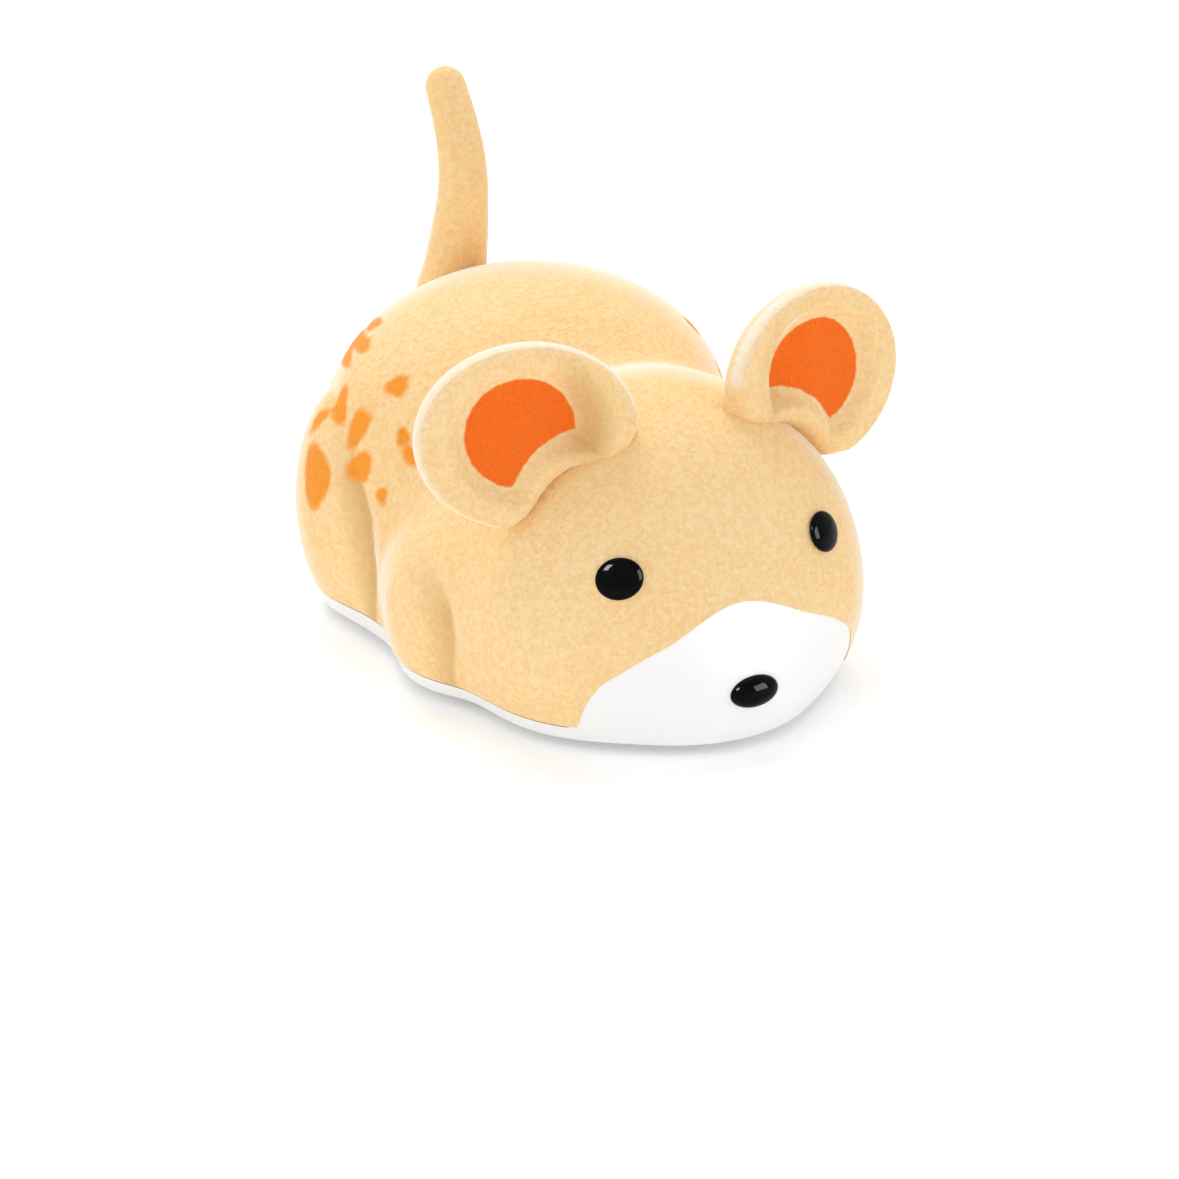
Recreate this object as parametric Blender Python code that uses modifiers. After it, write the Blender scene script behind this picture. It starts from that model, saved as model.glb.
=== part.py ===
"""Robotic mouse cat toy: a flocked two-shell mouse on a geared two-wheel drive.

Axes: +Z is up, the snout points along -Y and the mouse's left side is +X.
The origin is on the floor below the middle of the toy's length. Lengths are in metres.
"""
import math

import bmesh
import bpy
import numpy as np
from mathutils import Matrix, Vector

# Fits
CLEARANCE = 0.0003
FIT = 0.00015
OVERRUN = 0.002

# Moulded body form: a body, head, belly, snout, two haunches and two paws blended together
BLEND = 0.001
CORE_Y = 0.0005
CORE_Z = 0.009
BODY_HALF_WIDTH = 0.0176
BODY_HALF_LENGTH = 0.0161
BODY_HALF_HEIGHT = 0.0129
BODY_Y = 0.0112
BODY_Z = 0.0159
BODY_SKIRT = 0.060
HEAD_HALF_WIDTH = 0.0179
HEAD_HALF_LENGTH = 0.0155
HEAD_HALF_HEIGHT = 0.0187
HEAD_Y = -0.0095
HEAD_Z = 0.0077
HEAD_SKIRT = 0.0150
SNOUT_HALF_WIDTH = 0.0100
SNOUT_HALF_LENGTH = 0.0081
SNOUT_HALF_HEIGHT = 0.0070
SNOUT_Y = -0.0191
SNOUT_Z = 0.0052
SNOUT_SKIRT = 0.0090
HAUNCH_HALF_WIDTH = 0.0035
HAUNCH_HALF_LENGTH = 0.0060
HAUNCH_HALF_HEIGHT = 0.0085
HAUNCH_SKIRT = 0.0088
HAUNCH_INSET = 0.0012
HAUNCH_PLACE_SHARE = 0.1553
HAUNCH_Z = 0.0096
BELLY_HALF_WIDTH = 0.0169
BELLY_HALF_LENGTH = 0.0120
BELLY_HALF_HEIGHT = 0.0150
BELLY_Y = 0.0025
BELLY_Z = 0.0070
PAW_HALF_WIDTH = 0.0044
PAW_HALF_LENGTH = 0.0064
PAW_HALF_HEIGHT = 0.0066
PAW_SKIRT = 0.0078
PAW_INSET = 0.0022
PAW_Y = -0.0033
PAW_Z = 0.0068
ROUND_POWER = 2.0
CHEEK_POWER = 2.5
OUTER_GRID = 12
INNER_GRID = 9

# Shells
SHELL_WALL = 0.0013
FLOCK_STEP = 0.00025
BASE_Z = 0.0010
FLOOR_THICKNESS = 0.0015
PARTING_Z = 0.0023
SEAM_GAP = 0.0002
LIP_HEIGHT = 0.0015
LIP_WALL = 0.0006
LIP_BOTTOM_STEP = 0.0004
MUZZLE_HALF_WIDTH = 0.0124
MUZZLE_TOP_Z = 0.0122
MUZZLE_BACK_Y = -0.0135
MUZZLE_OUTLINE_SHARES = ((1.00, 0.00), (1.02, 0.22), (1.005, 0.40), (0.945, 0.54), (0.85, 0.635),
                         (0.71, 0.72), (0.54, 0.795), (0.40, 0.86), (0.23, 0.94), (0.0, 1.0))

# Ears
EAR_HALF_WIDTH = 0.0093
EAR_HALF_HEIGHT = 0.0076
EAR_THICKNESS = 0.0036
EAR_DISH_DEPTH = 0.0017
EAR_X = 0.0134
EAR_Y = -0.0136
EAR_Z = 0.0256
EAR_TURN = math.radians(13.5)
EAR_TILT = math.radians(-9.0)
EAR_LEAN = math.radians(-2.1)
EAR_DISH_SHARES = ((0.0, -0.10), (0.50, 0.0), (0.82, 0.35))
EAR_BACK_SHARES = ((0.45, -1.05), (0.0, -1.08))
EAR_NOTCH_IN = 0.0049
EAR_NOTCH_DOWN = 0.0064
EAR_NOTCH_RADIUS = 0.0037
EAR_TAB_WIDTH = 0.0058
EAR_TAB_THICKNESS = 0.0016
EAR_TAB_DEPTH = 0.0022
EAR_TAB_BACK = 0.00095

# Eyes and nose
EYE_HALF_WIDTH = 0.0019
EYE_HALF_HEIGHT = 0.00166
EYE_DOME = 0.0008
EYE_SEAT = 0.0004
EYE_X = 0.0094
EYE_Z = 0.0155
PEG_RADIUS = 0.0008
PEG_DEPTH = 0.0012
NOSE_HALF_WIDTH = 0.0022
NOSE_HALF_HEIGHT = 0.00137
NOSE_DOME = 0.0012
NOSE_Z = 0.0055

# Tail
TAIL_BASE_RADIUS = 0.0029
TAIL_MIDDLE_RADIUS = 0.00225
TAIL_TIP_RADIUS = 0.0017
TAIL_HEIGHT = 0.0431
TAIL_ROOT_SHARE = 0.832
TAIL_LEAN = 0.0022
TAIL_HOOK = 0.0018
TAIL_ROOT_Z = 0.0210
TAIL_SWING_SHARES = ((0.0, 0.30), (0.22, -0.30), (0.45, -0.85), (0.63, -1.0), (0.80, -0.45))
TAIL_TAPER_SHARES = (0.0, 0.12, 0.50, 1.0)
TAIL_FLARE_SHARE = 1.08
TAIL_CAP_TURNS = (30.0, 60.0, 85.0)
TAIL_PLUG_RADIUS = 0.0016
TAIL_PLUG_DEPTH = 0.0035
TAIL_PLUG_SLOPE = math.radians(38.0)
TAIL_SIDES = 12
TAIL_RINGS = 12

# Wheels and axle
WHEEL_RADIUS = 0.0070
WHEEL_WIDTH = 0.0038
TYRE_THICKNESS = 0.0014
TYRE_SHOULDER_SHARE = 0.4
HUB_RIM_SHARE = 0.82
HUB_CORE_SHARE = 0.34
HUB_FACE_SHARE = 0.72
AXLE_RADIUS = 0.00075
AXLE_Y = 0.0055
CAP_RADIUS = 0.0016
CAP_WIDTH = 0.0008

# Gear trains
GEAR_MODULE = 0.0004
WHEEL_TEETH = 24
PINION_TEETH = 8
PRESSURE_ANGLE = math.radians(20.0)
BACKLASH = 0.00006
PINION_ADDENDUM_SHARE = 1.0
GEAR_ADDENDUM_SHARE = 0.5
DEDENDUM_SHARE = 1.25
UNDERCUT_SHARE = 0.6
GEAR_WIDTH = 0.0016
GEAR_STEP = 0.0006
IDLER_ANGLE = math.radians(35.0)
MOTOR_ANGLE = math.radians(10.0)
PIN_RADIUS = 0.0005

# Motors
MOTOR_RADIUS = 0.0035
MOTOR_LENGTH_SHARE = 0.824
MOTOR_BOSS_RADIUS = 0.0013
MOTOR_BOSS_LENGTH = 0.0004
SHAFT_RADIUS = 0.0004

# Drive frame
PLATE_THICKNESS = 0.0014
PLATE_RIM = 0.0009
WEB_THICKNESS = 0.0010
WEB_LIFT = 0.0023
BOARD_PEG_RADIUS = 0.0007
BOARD_Z = 0.0176

# Screws and bosses
SCREW_RADIUS = 0.0009
SCREW_HEAD_RADIUS = 0.0015
SCREW_HEAD_HEIGHT = 0.0011
SHELL_SCREW_LENGTH = 0.0060
FRAME_SCREW_LENGTH = 0.0034
BOSS_RADIUS = 0.0025
BOSS_HEIGHT = 0.0036
BOSS_LAND = 0.0012
POST_RADIUS = 0.0019
FRONT_POST_X = 0.0135
FRONT_POST_Y = -0.0080
REAR_POST_SIDE_SHARE = 0.682
REAR_POST_REAR_SHARE = 0.317
FRAME_SCREW_REACH = 0.0045
FRAME_BOSS_RADIUS = 0.0020

# Front caster
CASTER_Y = -0.0165
CASTER_WHEEL_RADIUS = 0.0030
CASTER_WHEEL_WIDTH = 0.0030
CASTER_CROWN_SHARE = 0.10
CASTER_EDGE_SHARE = 0.20
CASTER_TRAIL = 0.0013
CASTER_BORE = 0.0049
CASTER_WALL = 0.0010
CASTER_PLATE = 0.0009
CASTER_ARM = 0.0009
CASTER_ARM_HALF_LENGTH = 0.0013
CASTER_STEM_RADIUS = 0.0012
CASTER_CLIP_RADIUS = 0.0021
CASTER_CLIP_THICKNESS = 0.0007
CASTER_PIN_RADIUS = 0.0005

# Battery, board, socket and switch
BATTERY_LENGTH = 0.0150
BATTERY_WIDTH = 0.0092
BATTERY_HEIGHT = 0.0040
CRADLE_THICKNESS = 0.0012
CRADLE_LENGTH_SHARE = 0.7
BOARD_WIDTH_SHARE = 0.523
BOARD_LENGTH = 0.0240
BOARD_THICKNESS = 0.0010
BOARD_CENTRE_Y = 0.0080
BOARD_CORNER_SHARE = 0.30
CHIP_WIDTH_SHARE = 0.32
CHIP_DEPTH_SHARE = 0.80
CHIP_PLACE_SHARE = 0.55
DRIVER_DEPTH_SHARE = 0.50
DRIVER_PLACE_SHARE = 0.50
SENSOR_SIDE_SHARE = 1.4
SENSOR_REAR_SHARE = 2.2
SOCKET_WIDTH = 0.0089
SOCKET_HEIGHT = 0.0031
SOCKET_LENGTH = 0.0068
SOCKET_SKIN = 0.0003
SOCKET_TONGUE = 0.0007
CHIP_HEIGHT = 0.0012
SENSOR_RADIUS = 0.0020
SENSOR_HEIGHT = 0.0050
SWITCH_X = 0.0092
SWITCH_Y = -0.0105
SWITCH_WIDTH = 0.0028
SWITCH_LENGTH = 0.0067
SWITCH_HEIGHT = 0.0026
KNOB_WIDTH = 0.0013
KNOB_LENGTH = 0.0015
KNOB_TRAVEL = 0.0015
KNOB_GRIP = 0.0012

# Leads between the board and what it feeds
LEAD_RADIUS = 0.0003
LEAD_BEND = 0.0005
LEAD_SPACING = 0.0016
LEAD_RISE_SHARE = 0.55
LEAD_DRIFT_SHARE = 0.30
LEAD_EDGE = 0.0010
TERMINAL_SHARE = 0.96
BATTERY_TAB_SHARE = 0.70
SWITCH_TAB_SHARE = 0.24

# Facets
ROUND_SIDES = 24
SMALL_SIDES = 12
SCREW_SIDES = 8
BEAD_SIDES = 16
MOTOR_SIDES = 20
EDGE_BEVEL = 0.0003
FLAT_ANGLE = math.radians(0.1)
WELD = 1e-6

# Places worked out from the sizes above
FLOOR_TOP = BASE_Z + FLOOR_THICKNESS
LIP_TOP = FLOOR_TOP + LIP_HEIGHT
LIP_INSET = SHELL_WALL + CLEARANCE
AXLE_Z = WHEEL_RADIUS
GEAR_CENTRES = GEAR_MODULE * (WHEEL_TEETH + PINION_TEETH) / 2
HAUNCH_Y = BODY_Y + BODY_HALF_LENGTH * HAUNCH_PLACE_SHARE
TAIL_ROOT_Y = BODY_Y + BODY_HALF_LENGTH * TAIL_ROOT_SHARE
REAR_POST_X = BODY_HALF_WIDTH * REAR_POST_SIDE_SHARE
REAR_POST_Y = BODY_Y + BODY_HALF_LENGTH * REAR_POST_REAR_SHARE
MOTOR_LENGTH = BODY_HALF_WIDTH * MOTOR_LENGTH_SHARE
BOARD_HALF_WIDTH = BODY_HALF_WIDTH * BOARD_WIDTH_SHARE


def material(name, colour, roughness, metallic=0.0):
    """A plain Principled material."""
    made = bpy.data.materials.new(name)
    made.use_nodes = True
    shader = made.node_tree.nodes["Principled BSDF"]
    shader.inputs["Base Color"].default_value = (*colour, 1.0)
    shader.inputs["Roughness"].default_value = roughness
    shader.inputs["Metallic"].default_value = metallic
    return made


def clear_scene():
    """Remove the objects of the start-up scene."""
    for obj in list(bpy.data.objects):
        bpy.data.objects.remove(obj, do_unlink=True)


def new_collection(name):
    """A collection linked to the scene."""
    made = bpy.data.collections.new(name)
    bpy.context.scene.collection.children.link(made)
    return made


clear_scene()
TOY = new_collection("robotic_mouse_cat_toy")
CUTTERS = new_collection("cutters")


# Object helpers

def add_object(name, data, finish=None):
    """Link an object: a part where it has a finish, a cutter where it has none."""
    obj = bpy.data.objects.new(name, data)
    if finish is None:
        CUTTERS.objects.link(obj)
        obj.hide_render = True
        obj.display_type = "WIRE"
    else:
        TOY.objects.link(obj)
        data.materials.clear()
        data.materials.append(finish)
    return obj


def mesh_from(name, build):
    """A mesh filled by a function that is given an empty bmesh."""
    mesh = bpy.data.meshes.new(name)
    bm = bmesh.new()
    build(bm)
    bm.to_mesh(mesh)
    bm.free()
    return mesh


def smooth(obj, angle=math.radians(35.0)):
    """Smooth shading with sharp edges past the angle."""
    obj.data.shade_smooth()
    obj.data.set_sharp_from_angle(angle=angle)


def frame_matrix(origin, z_axis, x_hint=(1.0, 0.0, 0.0)):
    """A placement whose local Z runs along z_axis."""
    z_dir = Vector(z_axis).normalized()
    x_dir = Vector(x_hint)
    x_dir = (x_dir - z_dir * x_dir.dot(z_dir)).normalized()
    y_dir = z_dir.cross(x_dir)
    turn = Matrix((x_dir, y_dir, z_dir)).transposed().to_4x4()
    return Matrix.Translation(Vector(origin)) @ turn


def box(name, low, high, finish=None):
    """A box between two corners."""
    low, high = Vector(low), Vector(high)

    def build(bm):
        bmesh.ops.create_cube(bm, size=1.0)
        bmesh.ops.scale(bm, vec=high - low, verts=bm.verts)

    obj = add_object(name, mesh_from(name, build), finish)
    obj.location = (low + high) / 2
    return obj


def cylinder(name, start, end, radius, finish=None, sides=SMALL_SIDES):
    """A cylinder between two points."""
    start, end = Vector(start), Vector(end)
    along = end - start

    def build(bm):
        bmesh.ops.create_cone(bm, cap_ends=True, segments=sides, radius1=radius, radius2=radius,
                              depth=along.length)

    obj = add_object(name, mesh_from(name, build), finish)
    hint = (1.0, 0.0, 0.0) if abs(along.normalized().x) < 0.9 else (0.0, 1.0, 0.0)
    obj.matrix_world = frame_matrix((start + end) / 2, along, hint)
    if finish is not None:
        smooth(obj)
    return obj


def turned(name, profile, placement, finish=None, sides=ROUND_SIDES, closed=False):
    """A profile of (radius, height) points turned about the placement's Z axis."""
    mesh = bpy.data.meshes.new(name)
    points = [(radius, 0.0, height) for radius, height in profile]
    edges = [(i, i + 1) for i in range(len(points) - 1)]
    if closed:
        edges.append((len(points) - 1, 0))
    mesh.from_pydata(points, edges, [])
    obj = add_object(name, mesh, finish)
    screw = obj.modifiers.new("turn", "SCREW")
    screw.steps = sides
    screw.render_steps = sides
    screw.use_merge_vertices = True
    screw.merge_threshold = WELD
    screw.use_smooth_shade = True
    obj.matrix_world = placement
    return obj


def outline_solid(name, outlines, thickness, placement, finish=None):
    """Flat outlines, the first one outside and the rest holes, extruded both ways from the plane."""
    curve = bpy.data.curves.new(name, "CURVE")
    curve.dimensions = "2D"
    curve.fill_mode = "BOTH"
    curve.extrude = thickness / 2
    for outline in outlines:
        spline = curve.splines.new("POLY")
        spline.points.add(len(outline) - 1)
        for point, (u, v) in zip(spline.points, outline):
            point.co = (u, v, 0.0, 1.0)
        spline.use_cyclic_u = True
    obj = add_object(name + "_outline", curve)
    obj.matrix_world = placement
    return as_mesh(obj, name, finish)


def as_mesh(source, name, finish=None):
    """Replace a curve by its welded mesh."""
    bpy.context.view_layer.update()
    evaluated = source.evaluated_get(bpy.context.evaluated_depsgraph_get())
    mesh = bpy.data.meshes.new_from_object(evaluated)
    mesh.name = name
    bm = bmesh.new()
    bm.from_mesh(mesh)
    bmesh.ops.remove_doubles(bm, verts=bm.verts, dist=WELD)
    bmesh.ops.dissolve_limit(bm, angle_limit=FLAT_ANGLE, verts=bm.verts, edges=bm.edges)
    bmesh.ops.recalc_face_normals(bm, faces=bm.faces)
    bm.to_mesh(mesh)
    bm.free()
    placement = source.matrix_world.copy()
    data = source.data
    bpy.data.objects.remove(source, do_unlink=True)
    bpy.data.curves.remove(data)
    obj = add_object(name, mesh, finish)
    obj.matrix_world = placement
    return obj


def combine(target, others, operation):
    """Cut, join or intersect a piece with others by Boolean modifiers."""
    for other in others:
        modifier = target.modifiers.new(operation.lower(), "BOOLEAN")
        modifier.operation = operation
        modifier.object = other
        modifier.solver = "EXACT"
    return target


def cut(target, *others):
    return combine(target, others, "DIFFERENCE")


def join(target, *others):
    return combine(target, others, "UNION")


def keep(target, *others):
    return combine(target, others, "INTERSECT")


def arc(centre, radius, start, end, count):
    """Points along an arc."""
    turns = [start + (end - start) * i / (count - 1) for i in range(count)]
    return [(centre[0] + radius * math.cos(t), centre[1] + radius * math.sin(t)) for t in turns]


def circle(centre, radius, sides=SMALL_SIDES):
    """Points around a circle."""
    return arc(centre, radius, 0.0, math.tau * (sides - 1) / sides, sides)


def along_x(x, y, z):
    """A placement whose local X, Y and Z are the world's Y, Z and X."""
    return Matrix(((0.0, 0.0, 1.0, x), (1.0, 0.0, 0.0, y), (0.0, 1.0, 0.0, z), (0.0, 0.0, 0.0, 1.0)))


# Moulded form

def form_blobs():
    """Centre, half sizes, lower half height and corner power of each blended lump."""
    haunch_x = BODY_HALF_WIDTH - HAUNCH_INSET
    paw_x = HEAD_HALF_WIDTH - PAW_INSET
    blobs = [((0.0, BODY_Y, BODY_Z), (BODY_HALF_WIDTH, BODY_HALF_LENGTH, BODY_HALF_HEIGHT),
              BODY_SKIRT, ROUND_POWER),
             ((0.0, HEAD_Y, HEAD_Z), (HEAD_HALF_WIDTH, HEAD_HALF_LENGTH, HEAD_HALF_HEIGHT),
              HEAD_SKIRT, CHEEK_POWER),
             ((0.0, BELLY_Y, BELLY_Z), (BELLY_HALF_WIDTH, BELLY_HALF_LENGTH, BELLY_HALF_HEIGHT),
              BODY_SKIRT, CHEEK_POWER),
             ((0.0, SNOUT_Y, SNOUT_Z), (SNOUT_HALF_WIDTH, SNOUT_HALF_LENGTH, SNOUT_HALF_HEIGHT),
              SNOUT_SKIRT, ROUND_POWER)]
    for side in (-1, 1):
        blobs.append(((side * haunch_x, HAUNCH_Y, HAUNCH_Z),
                      (HAUNCH_HALF_WIDTH, HAUNCH_HALF_LENGTH, HAUNCH_HALF_HEIGHT),
                      HAUNCH_SKIRT, ROUND_POWER))
        blobs.append(((side * paw_x, PAW_Y, PAW_Z),
                      (PAW_HALF_WIDTH, PAW_HALF_LENGTH, PAW_HALF_HEIGHT),
                      PAW_SKIRT, ROUND_POWER))
    return blobs


def form_distance(points, grow):
    """Signed size of the blended form at the points, negative inside, grown by a distance."""
    total = 0.0
    for centre, half, skirt, power in form_blobs():
        offset = np.abs(points - np.array(centre))
        below = points[..., 2] < centre[2]
        half_z = np.where(below, skirt, half[2]) + grow
        flat = ((offset[..., 0] / (half[0] + grow)) ** power
                + (offset[..., 1] / (half[1] + grow)) ** power) ** (2.0 / power)
        ratio = np.sqrt(flat + (offset[..., 2] / half_z) ** 2)
        distance = (ratio - 1.0) * min(half)
        total = total + np.exp(-np.clip(distance / BLEND, -60.0, 60.0))
    return -BLEND * np.log(total)


def cast_to_form(origins, directions, grow):
    """Where rays from inside last leave the form."""
    reach = 2.0 * (BODY_HALF_LENGTH + HEAD_HALF_LENGTH)
    steps = np.linspace(reach, 0.0, 240)
    points = origins[:, None, :] + directions[:, None, :] * steps[None, :, None]
    inside = form_distance(points, grow) < 0.0
    first = np.argmax(inside, axis=1)
    near = steps[first]
    far = steps[np.maximum(first - 1, 0)]
    for _ in range(24):
        middle = (near + far) / 2
        sample = origins + directions * middle[:, None]
        hit = form_distance(sample, grow) < 0.0
        near = np.where(hit, middle, near)
        far = np.where(hit, far, middle)
    return origins + directions * near[:, None]


def form_point(x=None, y=None, z=None, grow=0.0):
    """The point of the form seen from inside along the axis whose value is None."""
    start = [x or 0.0, y or 0.0, z or 0.0]
    axis = [x, y, z].index(None)
    heading = [0.0, 0.0, 0.0]
    heading[axis] = 1.0
    return cast_to_form(np.array([start]), np.array([heading]), grow)[0]


def form_front(x, z, grow=0.0):
    """The front surface point at a place in the front view."""
    return cast_to_form(np.array([[x, HEAD_Y, z]]), np.array([[0.0, -1.0, 0.0]]), grow)[0]


def form_normal(point, grow=0.0):
    """Outward direction of the form's surface at a point."""
    step = BLEND / 10
    shifts = np.eye(3) * step
    slopes = [form_distance(point + s, grow) - form_distance(point - s, grow) for s in shifts]
    return Vector([float(s) for s in slopes]).normalized()


def form_solid(name, grow, grid, bottom, finish=None, top=None):
    """The form as a solid: a cube sphere pushed out to the surface, cut level at the bottom."""

    def build(bm):
        bmesh.ops.create_cube(bm, size=2.0)
        bmesh.ops.subdivide_edges(bm, edges=bm.edges, cuts=grid - 1, use_grid_fill=True)
        directions = np.array([v.co for v in bm.verts])
        directions = np.tan(directions * math.pi / 4)
        directions /= np.linalg.norm(directions, axis=1)[:, None]
        origins = np.tile((0.0, CORE_Y, CORE_Z), (len(directions), 1))
        for vert, place in zip(bm.verts, cast_to_form(origins, directions, grow)):
            vert.co = place
        cut_level(bm, bottom, below=True)
        if top is not None:
            cut_level(bm, top, below=False)

    obj = add_object(name, mesh_from(name, build), finish)
    if finish is not None:
        smooth(obj)
    return obj


def cut_level(bm, height, below):
    """Cut the mesh at a height and close it with a flat face."""
    geometry = bm.verts[:] + bm.edges[:] + bm.faces[:]
    result = bmesh.ops.bisect_plane(bm, geom=geometry, plane_co=(0.0, 0.0, height),
                                    plane_no=(0.0, 0.0, 1.0), dist=WELD / 10, clear_inner=below,
                                    clear_outer=not below)
    rim = [item for item in result["geom_cut"] if isinstance(item, bmesh.types.BMEdge)]
    bmesh.ops.edgeloop_fill(bm, edges=rim)
    bmesh.ops.recalc_face_normals(bm, faces=bm.faces)


# Shells

def muzzle_outline(grow):
    """The muzzle patch in the front view, as (x, z) points, grown outwards."""
    width = MUZZLE_HALF_WIDTH + grow
    height = MUZZLE_TOP_Z + grow
    side = [(u * width, v * height) for u, v in MUZZLE_OUTLINE_SHARES]
    left = [(-x, z) for x, z in reversed(side[:-1])]
    return smooth_line(side + left, 2)


def smooth_line(points, pieces):
    """A Catmull-Rom line through points of any size, with some pieces per span."""
    spots = [np.array(p, float) for p in points]
    spots = [2 * spots[0] - spots[1]] + spots + [2 * spots[-1] - spots[-2]]
    line = []
    for a, b, c, d in zip(spots, spots[1:], spots[2:], spots[3:]):
        for i in range(pieces):
            t = i / pieces
            line.append(tuple(0.5 * (2 * b + (c - a) * t + (2 * a - 5 * b + 4 * c - d) * t ** 2
                                     + (3 * b - a - 3 * c + d) * t ** 3)))
    line.append(tuple(spots[-2]))
    return line


def muzzle_prism(name, grow):
    """The muzzle patch extruded forward from its back plane."""
    front = HEAD_Y - HEAD_HALF_LENGTH - SNOUT_HALF_LENGTH
    outline = muzzle_outline(grow)
    middle = (front + MUZZLE_BACK_Y) / 2
    placement = Matrix(((1.0, 0.0, 0.0, 0.0), (0.0, 0.0, -1.0, middle), (0.0, 1.0, 0.0, 0.0),
                        (0.0, 0.0, 0.0, 1.0)))
    return outline_solid(name, [outline], MUZZLE_BACK_Y - front + 2 * grow, placement)


def shell_screw_places():
    """The four places where the shells are screwed together."""
    return {"front_left": (FRONT_POST_X, FRONT_POST_Y), "front_right": (-FRONT_POST_X, FRONT_POST_Y),
            "rear_left": (REAR_POST_X, REAR_POST_Y), "rear_right": (-REAR_POST_X, REAR_POST_Y)}


def frame_screw_places():
    """The two places where the drive frame is screwed to the lower shell."""
    return {"front": (0.0, AXLE_Y - FRAME_SCREW_REACH), "rear": (0.0, AXLE_Y + FRAME_SCREW_REACH)}


def make_upper_shell(finish):
    """The flocked shell: a hollow form open below, with screw posts inside."""
    shell = form_solid("upper_shell", 0.0, OUTER_GRID, PARTING_Z + SEAM_GAP, finish)
    cut(shell, form_solid("upper_cavity", -SHELL_WALL, INNER_GRID, BASE_Z),
        muzzle_prism("muzzle_cutter", SEAM_GAP))
    post_bottom = BASE_Z + BOSS_HEIGHT + CLEARANCE
    for place, (x, y) in shell_screw_places().items():
        post = cylinder("post_" + place, (x, y, post_bottom), (x, y, BODY_Z + BODY_HALF_HEIGHT),
                        POST_RADIUS)
        keep(post, form_solid("post_trim_" + place, -SHELL_WALL / 2, INNER_GRID, BASE_Z))
        join(shell, post)
        depth = SHELL_SCREW_LENGTH - BOSS_LAND + CLEARANCE
        cut(shell, cylinder("pilot_" + place, (x, y, post_bottom - OVERRUN),
                            (x, y, post_bottom + depth), SCREW_RADIUS + FIT))
    return shell


def make_lower_shell(finish):
    """The smooth shell: floor, locating lip and muzzle, with seats for what stands in it."""
    shell = form_solid("lower_shell", -FLOCK_STEP, OUTER_GRID, BASE_Z, finish)
    reach = BODY_HALF_LENGTH + HEAD_HALF_LENGTH + BODY_HALF_WIDTH
    region = box("parting_slab", (-reach, -reach, BASE_Z - OVERRUN), (reach, reach, PARTING_Z))
    join(region, muzzle_prism("muzzle_block", 0.0))
    keep(shell, region)
    join(shell, form_solid("lip", -LIP_INSET, INNER_GRID, BASE_Z + LIP_BOTTOM_STEP, top=LIP_TOP))
    cut(shell, form_solid("lower_cavity", -LIP_INSET - LIP_WALL, INNER_GRID, FLOOR_TOP))
    fittings = lower_fittings()
    keep(fittings, form_solid("fitting_trim", -LIP_INSET - LIP_WALL / 2, INNER_GRID,
                              BASE_Z + LIP_BOTTOM_STEP))
    join(shell, fittings)
    cut_lower_holes(shell)
    return shell


def lower_fittings():
    """Bosses, the caster turret and the battery cradle as one block."""
    root = FLOOR_TOP - FLOOR_THICKNESS / 2
    turret_top = caster_heights()["roof_top"]
    block = cylinder("turret_block", (0.0, CASTER_Y, root), (0.0, CASTER_Y, turret_top),
                     CASTER_BORE + CASTER_WALL, sides=ROUND_SIDES)
    pieces = []
    for place, (x, y) in shell_screw_places().items():
        pieces.append(cylinder("boss_" + place, (x, y, root), (x, y, BASE_Z + BOSS_HEIGHT),
                               BOSS_RADIUS))
    for place, (x, y) in frame_screw_places().items():
        pieces.append(cylinder("frame_boss_" + place, (x, y, root), (x, y, web_bottom() - CLEARANCE),
                               FRAME_BOSS_RADIUS))
    inner = CASTER_BORE + CASTER_WALL - CRADLE_THICKNESS / 2
    for side in (-1, 1):
        x_values = sorted((side * inner, side * (inner + CRADLE_THICKNESS)))
        low = (x_values[0], battery_back() - BATTERY_WIDTH * CRADLE_LENGTH_SHARE, root)
        high = (x_values[1], battery_back(), battery_bottom() - CLEARANCE)
        pieces.append(box("cradle_" + ("right", "left")[side > 0], low, high))
    return join(block, *pieces)


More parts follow.
